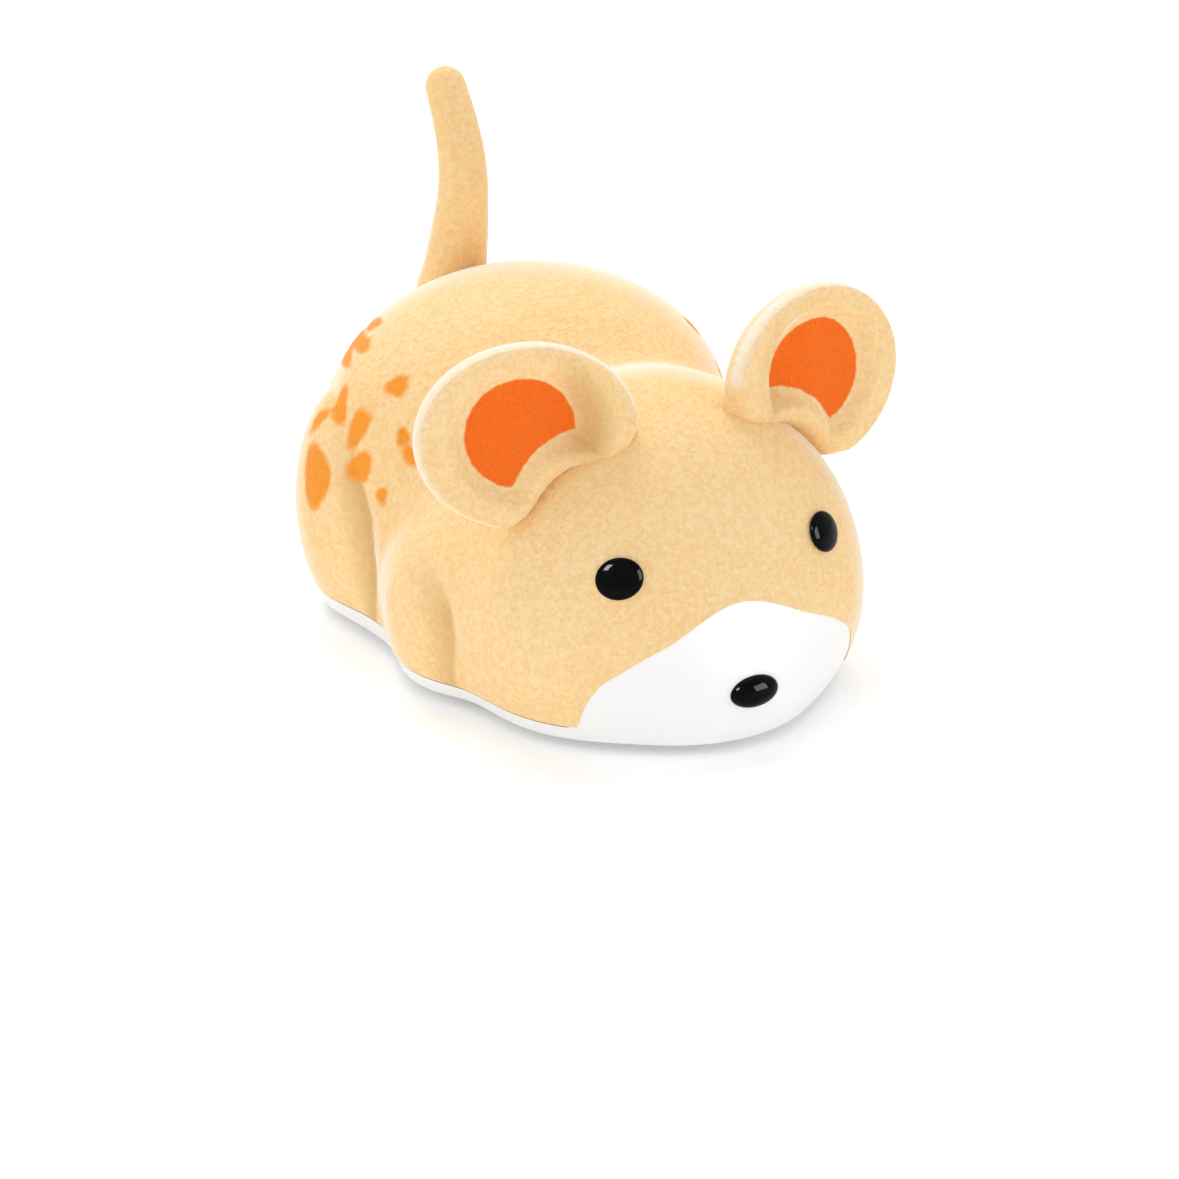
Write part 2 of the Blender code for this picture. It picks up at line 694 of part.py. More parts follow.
def cut_lower_holes(shell):
    """Screw holes, wheel slots, the caster bore and the switch slot."""
    land = BASE_Z + BOSS_HEIGHT - BOSS_LAND
    head, shank = SCREW_HEAD_RADIUS + CLEARANCE, SCREW_RADIUS + CLEARANCE
    for place, (x, y) in shell_screw_places().items():
        profile = [(0.0, land + OVERRUN), (shank, land + OVERRUN), (shank, land), (head, land),
                   (head, BASE_Z - OVERRUN), (0.0, BASE_Z - OVERRUN)]
        cut(shell, turned("screw_hole_" + place, profile, Matrix.Translation((x, y, 0.0)),
                          sides=SMALL_SIDES))
    for place, (x, y) in frame_screw_places().items():
        cut(shell, cylinder("frame_pilot_" + place, (x, y, frame_screw_tip() - CLEARANCE),
                            (x, y, web_bottom() + OVERRUN), SCREW_RADIUS + FIT))
    x_of = train_stations()
    chord = math.sqrt(WHEEL_RADIUS ** 2 - (AXLE_Z - FLOOR_TOP) ** 2)
    tip = gear_radii(WHEEL_TEETH, GEAR_ADDENDUM_SHARE)["tip"]
    gear_chord = math.sqrt(max(tip ** 2 - (AXLE_Z - FLOOR_TOP) ** 2, 0.0))
    for side in (-1, 1):
        name = ("right", "left")[side > 0]
        for label, inner, outer, half in (
                ("wheel_slot_", x_of["wheel_inner"] - CLEARANCE, x_of["wheel_outer"] + CLEARANCE,
                 chord + 2 * CLEARANCE),
                ("gear_slot_", x_of["wheel_gear_inner"] - 2 * CLEARANCE, x_of["wheel_inner"],
                 gear_chord + 2 * CLEARANCE)):
            x_values = sorted((side * inner, side * outer))
            cut(shell, box(label + name, (x_values[0], AXLE_Y - half, BASE_Z - OVERRUN),
                           (x_values[1], AXLE_Y + half, FLOOR_TOP + CLEARANCE)))
    heights = caster_heights()
    cut(shell, cylinder("caster_bore", (0.0, CASTER_Y, BASE_Z - OVERRUN),
                        (0.0, CASTER_Y, heights["roof_bottom"]), CASTER_BORE, sides=ROUND_SIDES),
        cylinder("caster_stem_hole", (0.0, CASTER_Y, heights["roof_bottom"] - OVERRUN),
                 (0.0, CASTER_Y, heights["roof_top"] + OVERRUN), CASTER_STEM_RADIUS + CLEARANCE))
    half_width = KNOB_WIDTH / 2 + CLEARANCE
    half_length = (KNOB_LENGTH + KNOB_TRAVEL) / 2 + CLEARANCE
    cut(shell, box("switch_slot", (SWITCH_X - half_width, SWITCH_Y - half_length, BASE_Z - OVERRUN),
                   (SWITCH_X + half_width, SWITCH_Y + half_length, FLOOR_TOP + OVERRUN / 2)))


# Ears, eyes, nose and tail

def ear_placement(side):
    """Where the ear's dish faces: local X across the ear, local Y up it, local Z out of the dish."""
    turn = Matrix.Rotation(side * EAR_TURN, 4, "Z")
    tilt = Matrix.Rotation(EAR_TILT, 4, "X")
    lean = Matrix.Rotation(side * EAR_LEAN, 4, "Y")
    facing = Matrix.Rotation(math.radians(90.0), 4, "X")
    place = Matrix.Translation((side * EAR_X, EAR_Y, EAR_Z))
    return place @ turn @ tilt @ lean @ facing


def ear_profile():
    """Half section of the dished ear from the middle of its dish round the rim to its back."""
    rim = EAR_THICKNESS / 2
    centre = EAR_HALF_WIDTH - rim
    floor = rim - EAR_DISH_DEPTH
    front = [(centre * out, floor + rim * up) for out, up in EAR_DISH_SHARES]
    edge = arc((centre, 0.0), rim, math.radians(110.0), math.radians(-90.0), 7)
    back = [(centre * out, rim * up) for out, up in EAR_BACK_SHARES]
    return front + edge + back


def ear_root_line(side):
    """Where the ear's tab passes through the shell, and the direction it goes in."""
    placement = ear_placement(side)
    face = placement.to_3x3().col[2].normalized()
    inward = Vector((0.0, HEAD_Y, HEAD_Z)) - placement.translation
    inward = (inward - face * inward.dot(face)).normalized()
    # The seat is where the plane of the ear's wall meets the form below the ear's centre.
    near = placement.translation - face * EAR_TAB_BACK
    far = near + inward * HEAD_HALF_HEIGHT
    for _ in range(24):
        middle = (near + far) / 2
        if form_distance(np.array(middle), 0.0) < 0.0:
            far = middle
        else:
            near = middle
    return near, inward, face


def ear_tab(name, side, grow):
    """The flat tab that holds an ear in its slot."""
    seat, inward, face = ear_root_line(side)
    start = seat - inward * (EAR_TAB_DEPTH / 2)
    end = seat + inward * (SHELL_WALL + EAR_TAB_DEPTH + grow)
    across = EAR_TAB_WIDTH / 2 + grow
    thick = EAR_TAB_THICKNESS / 2 + grow
    half = (end - start).length / 2
    tab = box(name, (-across, -thick, -half), (across, thick, half))
    tab.matrix_world = frame_matrix((start + end) / 2, inward, inward.cross(face))
    return tab


def make_ear(side, finish):
    """A dished ear seated on the shell, with its tab through a slot."""
    name = ("right", "left")[side > 0]
    stretch = Matrix.Diagonal((1.0, EAR_HALF_HEIGHT / EAR_HALF_WIDTH, 1.0, 1.0))
    ear = turned(name + "_ear", ear_profile(), ear_placement(side) @ stretch, finish)
    notch = cylinder(name + "_ear_notch", (-side * EAR_NOTCH_IN, -EAR_NOTCH_DOWN, -EAR_THICKNESS),
                     (-side * EAR_NOTCH_IN, -EAR_NOTCH_DOWN, EAR_THICKNESS), EAR_NOTCH_RADIUS)
    notch.matrix_world = ear_placement(side) @ notch.matrix_world
    cut(ear, notch, form_solid(name + "_ear_seat", CLEARANCE / 2, OUTER_GRID, PARTING_Z))
    join(ear, ear_tab(name + "_ear_tab", side, 0.0))
    return ear


def bead_profile(radius, dome, seat):
    """A domed bead with a peg behind it, turned about its middle."""
    cap = [(radius * math.sin(t), dome * math.cos(t))
           for t in [math.radians(90.0) * i / 4 for i in range(5)]]
    return cap + [(radius, -seat), (PEG_RADIUS, -seat), (PEG_RADIUS, -SHELL_WALL - PEG_DEPTH),
                  (0.0, -SHELL_WALL - PEG_DEPTH)]


def bead_seat_profile(radius, seat):
    """The recess and peg hole that a bead sits in."""
    hole = PEG_RADIUS + FIT
    depth = -SHELL_WALL - PEG_DEPTH - OVERRUN
    return [(0.0, OVERRUN), (radius + FIT, OVERRUN), (radius + FIT, -seat - FIT),
            (hole, -seat - FIT), (hole, depth), (0.0, depth)]


def eye_placement(side):
    """Where an eye sits on the head."""
    place = form_front(side * EYE_X, EYE_Z)
    stretch = Matrix.Diagonal((1.0, EYE_HALF_HEIGHT / EYE_HALF_WIDTH, 1.0, 1.0))
    return frame_matrix(place, form_normal(place), (1.0, 0.0, 0.0)) @ stretch


def nose_placement():
    """Where the nose sits on the muzzle."""
    place = form_front(0.0, NOSE_Z, -FLOCK_STEP)
    stretch = Matrix.Diagonal((1.0, NOSE_HALF_HEIGHT / NOSE_HALF_WIDTH, 1.0, 1.0))
    return frame_matrix(place, form_normal(place), (1.0, 0.0, 0.0)) @ stretch


def tail_line(rings):
    """The tail's centre line with its radius at each ring, from root to rounded tip."""
    rise = TAIL_HEIGHT - TAIL_ROOT_Z
    spots = [(TAIL_ROOT_Y + TAIL_LEAN * lean, TAIL_ROOT_Z + rise * up) for up, lean in TAIL_SWING_SHARES]
    spots.append((TAIL_ROOT_Y + TAIL_HOOK, TAIL_HEIGHT))
    fine = np.array(smooth_line(spots, 12))
    steps = np.r_[0.0, np.cumsum(np.linalg.norm(np.diff(fine, axis=0), axis=1))]
    length = steps[-1]
    body = np.linspace(0.0, 1.0 - TAIL_TIP_RADIUS / length, rings)
    cap = [1.0 - TAIL_TIP_RADIUS / length * (1.0 - math.sin(math.radians(turn)))
           for turn in TAIL_CAP_TURNS]
    radii = (TAIL_BASE_RADIUS * TAIL_FLARE_SHARE, TAIL_BASE_RADIUS, TAIL_MIDDLE_RADIUS, TAIL_TIP_RADIUS)
    line = []
    for share in list(body) + cap:
        y, z = (np.interp(share * length, steps, fine[:, i]) for i in (0, 1))
        radius = np.interp(share, TAIL_TAPER_SHARES, radii)
        line.append((float(y), float(z), float(radius)))
    for i, turn in enumerate(TAIL_CAP_TURNS):
        y, z, radius = line[rings + i]
        line[rings + i] = (y, z, radius * math.cos(math.radians(turn)))
    return line


def make_tail(finish):
    """The soft tail: a tapering tube on a gentle curve, seated on the rump with a plug."""
    curve = bpy.data.curves.new("tail_tube", "CURVE")
    curve.dimensions = "3D"
    curve.bevel_depth = TAIL_BASE_RADIUS
    curve.bevel_resolution = (TAIL_SIDES - 4) // 2
    curve.use_fill_caps = True
    line = tail_line(TAIL_RINGS)
    spline = curve.splines.new("POLY")
    spline.points.add(len(line) - 1)
    for point, (y, z, radius) in zip(spline.points, line):
        point.co = (0.0, y, z, 1.0)
        point.radius = radius / TAIL_BASE_RADIUS
    tail = as_mesh(add_object("tail_tube", curve), "tail", finish)
    smooth(tail)
    cut(tail, form_solid("tail_seat", CLEARANCE / 2, OUTER_GRID, PARTING_Z))
    join(tail, tail_plug("tail_plug", 0.0))
    return tail


def tail_seat_point():
    """Where the tail's plug passes through the rump."""
    return form_point(x=0.0, y=TAIL_ROOT_Y, grow=0.0)


def tail_plug(name, grow):
    """The plug that holds the tail in its hole."""
    seat = Vector(tail_seat_point())
    inward = Vector((0.0, -math.cos(TAIL_PLUG_SLOPE), -math.sin(TAIL_PLUG_SLOPE)))
    start = seat - inward * (TAIL_PLUG_RADIUS / 2)
    end = seat + inward * (SHELL_WALL + TAIL_PLUG_DEPTH + grow)
    return cylinder(name, start, end, TAIL_PLUG_RADIUS + grow)


# Gears

def gear_radii(teeth, addendum_share):
    """Pitch, base, root and tip radius of a gear."""
    pitch = GEAR_MODULE * teeth / 2
    return {"pitch": pitch, "base": pitch * math.cos(PRESSURE_ANGLE),
            "root": pitch - GEAR_MODULE * DEDENDUM_SHARE,
            "tip": pitch + GEAR_MODULE * addendum_share}


def involute(radius, base):
    """Involute angle of the flank at a radius."""
    if radius <= base:
        return 0.0
    roll = math.acos(base / radius)
    return math.tan(roll) - roll


def gear_outline(teeth, addendum_share, phase):
    """Outline of an involute gear with one tooth centred at the phase angle."""
    radii = gear_radii(teeth, addendum_share)
    half_pitch = (math.pi * GEAR_MODULE / 2 - BACKLASH) / (2 * radii["pitch"])
    at_pitch = involute(radii["pitch"], radii["base"])
    levels = [radii["root"], radii["tip"]]
    if radii["base"] > radii["root"] + UNDERCUT_SHARE * GEAR_MODULE:
        levels.insert(1, radii["base"])
    outline = []
    for tooth in range(teeth):
        middle = phase + math.tau * tooth / teeth
        flank = [(r, half_pitch + at_pitch - involute(r, radii["base"])) for r in levels]
        outline += [(r * math.cos(middle - w), r * math.sin(middle - w)) for r, w in flank]
        outline += [(r * math.cos(middle + w), r * math.sin(middle + w)) for r, w in reversed(flank)]
    return outline


def meshed_phase(phase, teeth, other_teeth, heading):
    """Phase of a gear that meshes with another one lying at a heading from it."""
    shift = (phase - heading) * teeth / other_teeth
    return heading + math.pi - shift + math.pi / other_teeth


def train_places(side):
    """Y, Z of a side's idler and motor, and the headings between them."""
    way = -side
    first = math.pi - IDLER_ANGLE if way < 0 else IDLER_ANGLE
    second = math.pi + MOTOR_ANGLE if way < 0 else -MOTOR_ANGLE
    idler = (AXLE_Y + GEAR_CENTRES * math.cos(first), AXLE_Z + GEAR_CENTRES * math.sin(first))
    motor = (idler[0] + GEAR_CENTRES * math.cos(second), idler[1] + GEAR_CENTRES * math.sin(second))
    return idler, motor, first, second


def wheel_room():
    """Distance from the middle plane to the nearest wall beside a wheel, above and at the lip."""
    widths = []
    for i in range(12):
        turn = math.tau * i / 12
        y = AXLE_Y + WHEEL_RADIUS * math.cos(turn)
        z = AXLE_Z + WHEEL_RADIUS * math.sin(turn)
        grow = -LIP_INSET
        if z < LIP_TOP:
            z = LIP_TOP
            grow = -LIP_INSET - LIP_WALL
        widths.append(float(form_point(y=y, z=z, grow=grow)[0]))
    return min(widths)


def train_stations():
    """Distances from the middle plane of the faces of wheels, gears and plates."""
    axle_end = wheel_room() - CLEARANCE
    cap_inner = axle_end - CAP_WIDTH
    wheel_outer = cap_inner - CLEARANCE
    wheel_inner = wheel_outer - WHEEL_WIDTH
    wheel_gear_inner = wheel_inner - GEAR_WIDTH
    idler_outer = wheel_inner - CLEARANCE
    idler_gear_outer = wheel_gear_inner - GEAR_STEP
    idler_gear_inner = idler_gear_outer - GEAR_WIDTH
    plate_outer = idler_gear_inner - GEAR_STEP
    return {"axle_end": axle_end, "cap_inner": cap_inner, "wheel_outer": wheel_outer,
            "wheel_inner": wheel_inner, "wheel_gear_inner": wheel_gear_inner,
            "idler_outer": idler_outer, "idler_gear_outer": idler_gear_outer,
            "idler_gear_inner": idler_gear_inner, "plate_outer": plate_outer,
            "plate_inner": plate_outer - PLATE_THICKNESS}


def gear_solid(name, teeth, addendum_share, phase, place, x_from, x_to, finish=None):
    """A spur gear between two X stations."""
    outline = gear_outline(teeth, addendum_share, phase)
    placement = along_x((x_from + x_to) / 2, *place)
    return outline_solid(name, [outline], abs(x_to - x_from), placement, finish)


def make_wheel_side(side, finishes):
    """One side's wheel, tyre, cap, idler gear, pin, pinion, shaft and motor."""
    name = ("right", "left")[side > 0]
    x_of = {key: side * value for key, value in train_stations().items()}
    idler, motor, first, second = train_places(side)
    axle = (AXLE_Y, AXLE_Z)
    wheel_phase = first
    small_phase = meshed_phase(wheel_phase, WHEEL_TEETH, PINION_TEETH, first)
    large_phase = second
    pinion_phase = meshed_phase(large_phase, WHEEL_TEETH, PINION_TEETH, second)

    hub_radius = WHEEL_RADIUS - TYRE_THICKNESS
    outward = Matrix.Rotation(math.radians(90.0 * side), 4, "Y")
    hub_place = Matrix.Translation((x_of["wheel_inner"], *axle)) @ outward
    hub = turned(name + "_wheel_hub", hub_profile(hub_radius), hub_place, finishes["nylon"])
    join(hub, gear_solid(name + "_wheel_gear", WHEEL_TEETH, GEAR_ADDENDUM_SHARE, wheel_phase, axle,
                         x_of["wheel_gear_inner"], x_of["wheel_inner"] + side * EDGE_BEVEL))
    cut(hub, cylinder(name + "_hub_bore", (x_of["wheel_gear_inner"] - side * OVERRUN, *axle),
                      (x_of["wheel_outer"] + side * OVERRUN, *axle), AXLE_RADIUS + FIT))
    turned(name + "_tyre", tyre_profile(hub_radius + FIT), hub_place, finishes["rubber"], closed=True)
    cap_place = Matrix.Translation((x_of["cap_inner"], *axle)) @ outward
    turned(name + "_axle_cap", ring_profile(AXLE_RADIUS + FIT, CAP_RADIUS, CAP_WIDTH), cap_place,
           finishes["steel"], sides=SMALL_SIDES, closed=True)

    gear = gear_solid(name + "_idler_gear", WHEEL_TEETH, GEAR_ADDENDUM_SHARE, large_phase, idler,
                      x_of["idler_gear_inner"], x_of["idler_gear_outer"], finishes["nylon"])
    join(gear, gear_solid(name + "_idler_pinion", PINION_TEETH, PINION_ADDENDUM_SHARE, small_phase,
                          idler, x_of["idler_gear_outer"] - side * GEAR_STEP, x_of["idler_outer"]))
    cut(gear, cylinder(name + "_idler_bore", (x_of["plate_outer"], *idler),
                       (x_of["wheel_outer"], *idler), PIN_RADIUS + FIT))
    cylinder(name + "_idler_pin", (x_of["plate_inner"], *idler), (x_of["idler_outer"], *idler),
             PIN_RADIUS, finishes["steel"])

    pinion = gear_solid(name + "_motor_pinion", PINION_TEETH, PINION_ADDENDUM_SHARE, pinion_phase,
                        motor, x_of["idler_gear_inner"], x_of["idler_gear_outer"],
                        finishes["brass"])
    cut(pinion, cylinder(name + "_pinion_bore", (x_of["plate_outer"], *motor),
                         (x_of["wheel_outer"], *motor), SHAFT_RADIUS + FIT))
    make_motor(name, side, motor, x_of, finishes)


def hub_profile(radius):
    """Half section of the wheel hub from its outer face to its inner face."""
    rim = radius * HUB_RIM_SHARE
    core = radius * HUB_CORE_SHARE
    face = WHEEL_WIDTH * HUB_FACE_SHARE
    return [(0.0, WHEEL_WIDTH), (core, WHEEL_WIDTH), (core, face), (rim, face), (rim, WHEEL_WIDTH),
            (radius, WHEEL_WIDTH), (radius, 0.0), (0.0, 0.0)]


def tyre_profile(inner):
    """Closed half section of the tyre, with rounded shoulders."""
    shoulder = TYRE_THICKNESS * TYRE_SHOULDER_SHARE
    return [(inner, WHEEL_WIDTH), (WHEEL_RADIUS - shoulder, WHEEL_WIDTH),
            (WHEEL_RADIUS, WHEEL_WIDTH - shoulder), (WHEEL_RADIUS, shoulder),
            (WHEEL_RADIUS - shoulder, 0.0), (inner, 0.0)]


def ring_profile(inner, outer, width):
    """Closed half section of a flat ring."""
    return [(inner, width), (outer, width), (outer, 0.0), (inner, 0.0)]


def make_motor(name, side, place, x_of, finishes):
    """A round motor with its boss and shaft, lying across the toy."""
    front = x_of["plate_outer"]
    inward = Matrix.Rotation(math.radians(90.0 * side), 4, "Y")
    placement = Matrix.Translation((front - side * MOTOR_LENGTH, *place)) @ inward
    edge = EDGE_BEVEL
    can = MOTOR_LENGTH - MOTOR_BOSS_LENGTH
    profile = [(0.0, MOTOR_LENGTH), (MOTOR_BOSS_RADIUS, MOTOR_LENGTH), (MOTOR_BOSS_RADIUS, can),
               (MOTOR_RADIUS - edge, can), (MOTOR_RADIUS, can - edge), (MOTOR_RADIUS, edge),
               (MOTOR_RADIUS - edge, 0.0), (0.0, 0.0)]
    motor = turned(name + "_motor", profile, placement, finishes["steel"], sides=MOTOR_SIDES)
    cut(motor, cylinder(name + "_shaft_bore", (front + side * OVERRUN, *place),
                        (front - side * OVERRUN, *place), SHAFT_RADIUS + FIT))
    cylinder(name + "_motor_shaft", (front - side * (OVERRUN - FIT), *place),
             (x_of["idler_gear_outer"], *place), SHAFT_RADIUS, finishes["steel"], sides=SCREW_SIDES)


# Drive frame

def web_bottom():
    """Height of the underside of the frame's web."""
    return FLOOR_TOP + WEB_LIFT


def frame_screw_tip():
    """Height of the lower end of a frame screw."""
    return web_bottom() + WEB_THICKNESS + CLEARANCE - FRAME_SCREW_LENGTH


def plate_outline():
    """Side view of a frame plate as (y, z) points."""
    _, left_motor, _, _ = train_places(1)
    _, right_motor, _, _ = train_places(-1)
    radius = MOTOR_RADIUS + CLEARANCE + PLATE_RIM
    bottom = FLOOR_TOP + CLEARANCE
    top = BOARD_Z - CLEARANCE
    front = min(left_motor, right_motor)
    rear = max(left_motor, right_motor)
    outline = [(front[0] - radius, bottom), (rear[0] + radius, bottom)]
    outline += arc(rear, radius, 0.0, math.radians(100.0), 7)
    outline += [(AXLE_Y + GEAR_CENTRES, top), (AXLE_Y - GEAR_CENTRES, top)]
    outline += arc(front, radius, math.radians(80.0), math.radians(180.0), 7)
    return outline


def make_drive_frame(finish):
    """Two plates joined by a web and a top bar, with pegs for the board."""
    x_of = train_stations()
    middle = (x_of["plate_inner"] + x_of["plate_outer"]) / 2
    frame = outline_solid("drive_frame", [plate_outline()], PLATE_THICKNESS,
                          along_x(-middle, 0.0, 0.0), finish)
    other = outline_solid("frame_plate", [plate_outline()], PLATE_THICKNESS,
                          along_x(middle, 0.0, 0.0))
    half = FRAME_SCREW_REACH + SCREW_HEAD_RADIUS
    web = box("frame_web", (-middle, AXLE_Y - half, web_bottom()),
              (middle, AXLE_Y + half, web_bottom() + WEB_THICKNESS))
    bar_top = BOARD_Z - CLEARANCE - PLATE_THICKNESS
    bar = box("frame_bar", (-middle, AXLE_Y - PLATE_THICKNESS, bar_top - PLATE_THICKNESS),
              (middle, AXLE_Y + PLATE_THICKNESS, bar_top))
    join(frame, other, web, bar)
    for side in (-1, 1):
        name = ("right", "left")[side > 0]
        idler, motor, _, _ = train_places(side)
        join(frame, cylinder("board_peg_" + name, (side * middle, AXLE_Y, bar_top),
                             (side * middle, AXLE_Y, BOARD_Z + BOARD_THICKNESS + PLATE_RIM / 2),
                             BOARD_PEG_RADIUS - FIT))
        reach = x_of["plate_outer"] + OVERRUN
        cut(frame, cylinder("motor_bore_" + name, (-reach, *motor), (reach, *motor),
                            MOTOR_RADIUS + FIT, sides=MOTOR_SIDES),
            cylinder("pin_bore_" + name, (0.0, *idler), (side * reach, *idler), PIN_RADIUS + FIT))
    cut(frame, cylinder("axle_bore", (-reach, AXLE_Y, AXLE_Z), (reach, AXLE_Y, AXLE_Z),
                        AXLE_RADIUS + FIT))
    for place, (x, y) in frame_screw_places().items():
        cut(frame, cylinder("web_hole_" + place, (x, y, web_bottom() - OVERRUN / 2),
                            (x, y, web_bottom() + OVERRUN), SCREW_RADIUS + CLEARANCE))
    return frame


def make_screw(name, head, direction, length, finish):
    """A pan-head screw whose shank runs from under its head along a direction."""
    edge = EDGE_BEVEL
    profile = [(0.0, SCREW_HEAD_HEIGHT), (SCREW_HEAD_RADIUS - edge, SCREW_HEAD_HEIGHT),
               (SCREW_HEAD_RADIUS, SCREW_HEAD_HEIGHT - edge), (SCREW_HEAD_RADIUS, 0.0),
               (SCREW_RADIUS, 0.0), (SCREW_RADIUS, -length + SCREW_RADIUS), (0.0, -length)]
    return turned(name, profile, frame_matrix(head, -Vector(direction)), finish, sides=SCREW_SIDES)


# Caster

def caster_heights():
    """Heights of the caster's parts, from its wheel up."""
    plate_bottom = 2 * CASTER_WHEEL_RADIUS + CLEARANCE
    plate_top = plate_bottom + CASTER_PLATE
    roof_bottom = plate_top + CLEARANCE
    roof_top = roof_bottom + CASTER_WALL
    clip_bottom = roof_top + CLEARANCE
    stem_top = clip_bottom + CASTER_CLIP_THICKNESS
    return {"plate_bottom": plate_bottom, "plate_top": plate_top, "roof_bottom": roof_bottom,
            "roof_top": roof_top, "clip_bottom": clip_bottom, "stem_top": stem_top}


def make_caster(finishes):
    """The front caster: fork, clip, wheel and wheel pin."""
    at = caster_heights()
    pivot = Matrix.Translation((0.0, CASTER_Y, 0.0))
    plate_radius = CASTER_BORE - 2 * CLEARANCE
    profile = [(0.0, at["stem_top"]), (CASTER_STEM_RADIUS, at["stem_top"]),
               (CASTER_STEM_RADIUS, at["plate_top"]), (plate_radius, at["plate_top"]),
               (plate_radius, at["plate_bottom"]), (0.0, at["plate_bottom"])]
    fork = turned("caster_fork", profile, pivot, finishes["nylon"])
    wheel_y = CASTER_Y + CASTER_TRAIL
    arm_in = CASTER_WHEEL_WIDTH / 2 + CLEARANCE
    arm_out = arm_in + CASTER_ARM
    for side in (-1, 1):
        name = ("right", "left")[side > 0]
        x_values = sorted((side * arm_in, side * arm_out))
        shape = arc((wheel_y, CASTER_WHEEL_RADIUS), CASTER_ARM_HALF_LENGTH, math.pi, math.tau, 9)
        top = at["plate_bottom"] + CASTER_PLATE / 2
        shape += [(wheel_y + CASTER_ARM_HALF_LENGTH, top), (wheel_y - CASTER_ARM_HALF_LENGTH, top)]
        join(fork, outline_solid("caster_arm_" + name, [shape], CASTER_ARM,
                                 along_x(sum(x_values) / 2, 0.0, 0.0)))
    axis = (wheel_y, CASTER_WHEEL_RADIUS)
    cut(fork, cylinder("caster_pin_hole", (-arm_out - OVERRUN, *axis), (arm_out + OVERRUN, *axis),
                       CASTER_PIN_RADIUS + FIT))
    clip_place = Matrix.Translation((0.0, CASTER_Y, at["clip_bottom"]))
    turned("caster_clip", ring_profile(CASTER_STEM_RADIUS + FIT, CASTER_CLIP_RADIUS,
                                       CASTER_CLIP_THICKNESS - FIT),
           clip_place, finishes["steel"], sides=SMALL_SIDES, closed=True)
    wheel_place = Matrix.Translation((-CASTER_WHEEL_WIDTH / 2, *axis)) @ Matrix.Rotation(
        math.radians(90.0), 4, "Y")
    crown = CASTER_WHEEL_RADIUS * CASTER_CROWN_SHARE
    edge = CASTER_WHEEL_WIDTH * CASTER_EDGE_SHARE
    bore = CASTER_PIN_RADIUS + FIT
    wheel = [(bore, CASTER_WHEEL_WIDTH), (CASTER_WHEEL_RADIUS - crown, CASTER_WHEEL_WIDTH),
             (CASTER_WHEEL_RADIUS, CASTER_WHEEL_WIDTH - edge), (CASTER_WHEEL_RADIUS, edge),
             (CASTER_WHEEL_RADIUS - crown, 0.0), (bore, 0.0)]
    turned("caster_wheel", wheel, wheel_place, finishes["rubber"], sides=MOTOR_SIDES, closed=True)
    cylinder("caster_pin", (-arm_out, *axis), (arm_out, *axis), CASTER_PIN_RADIUS,
             finishes["steel"])


# Battery, board and switch

def battery_bottom():
    """Height of the battery's underside, just above the caster's stem."""
    return caster_heights()["stem_top"] + CLEARANCE


def battery_back():
    """The battery's rear face, just ahead of the drive frame."""
    front_motor_y = min(train_places(1)[1][0], train_places(-1)[1][0])
    return front_motor_y - MOTOR_RADIUS - CLEARANCE - PLATE_RIM - CLEARANCE


def bevelled_box(name, low, high, finish, width=EDGE_BEVEL):
    """A box with rounded edges."""
    obj = box(name, low, high, finish)
    bevel = obj.modifiers.new("edge", "BEVEL")
    bevel.width = width
    bevel.segments = 1
    return obj


def make_electronics(finishes):
    """The battery, circuit board with its parts, charging socket and slide switch."""
    back = battery_back()
    bevelled_box("battery", (-BATTERY_LENGTH / 2, back - BATTERY_WIDTH, battery_bottom()),
                 (BATTERY_LENGTH / 2, back, battery_bottom() + BATTERY_HEIGHT), finishes["foil"],
                 2 * EDGE_BEVEL)
    x_of = train_stations()
    peg_x = (x_of["plate_inner"] + x_of["plate_outer"]) / 2
    half_length = BOARD_LENGTH / 2
    corner = BOARD_HALF_WIDTH * BOARD_CORNER_SHARE
    outline = [(-BOARD_HALF_WIDTH, -half_length + corner), (-BOARD_HALF_WIDTH + corner, -half_length),
               (BOARD_HALF_WIDTH - corner, -half_length), (BOARD_HALF_WIDTH, -half_length + corner),
               (BOARD_HALF_WIDTH, half_length - corner), (BOARD_HALF_WIDTH - corner, half_length),
               (-BOARD_HALF_WIDTH + corner, half_length), (-BOARD_HALF_WIDTH, half_length - corner)]
    holes = [circle((side * peg_x, AXLE_Y - BOARD_CENTRE_Y), BOARD_PEG_RADIUS + FIT)
             for side in (-1, 1)]
    outline_solid("circuit_board", [outline] + holes, BOARD_THICKNESS,
                  Matrix.Translation((0.0, BOARD_CENTRE_Y, BOARD_Z + BOARD_THICKNESS / 2)),
                  finishes["board"])
    seat = BOARD_Z + BOARD_THICKNESS + FIT
    chip = BOARD_HALF_WIDTH * CHIP_WIDTH_SHARE
    for name, centre, depth in (
            ("control_chip", AXLE_Y - BOARD_HALF_WIDTH * CHIP_PLACE_SHARE, chip * CHIP_DEPTH_SHARE),
            ("motor_driver_chip", AXLE_Y + BOARD_HALF_WIDTH * DRIVER_PLACE_SHARE,
             chip * DRIVER_DEPTH_SHARE)):
        bevelled_box(name, (-chip, centre - depth, seat), (chip, centre + depth, seat + CHIP_HEIGHT),
                     finishes["epoxy"])
    sensor_x = BOARD_HALF_WIDTH - SENSOR_SIDE_SHARE * SENSOR_RADIUS
    sensor_y = AXLE_Y + SENSOR_REAR_SHARE * SENSOR_RADIUS
    cylinder("motion_sensor", (sensor_x, sensor_y, seat), (sensor_x, sensor_y, seat + SENSOR_HEIGHT),
             SENSOR_RADIUS, finishes["steel"], sides=SMALL_SIDES)
    make_socket(finishes["steel"])
    make_switch(finishes)


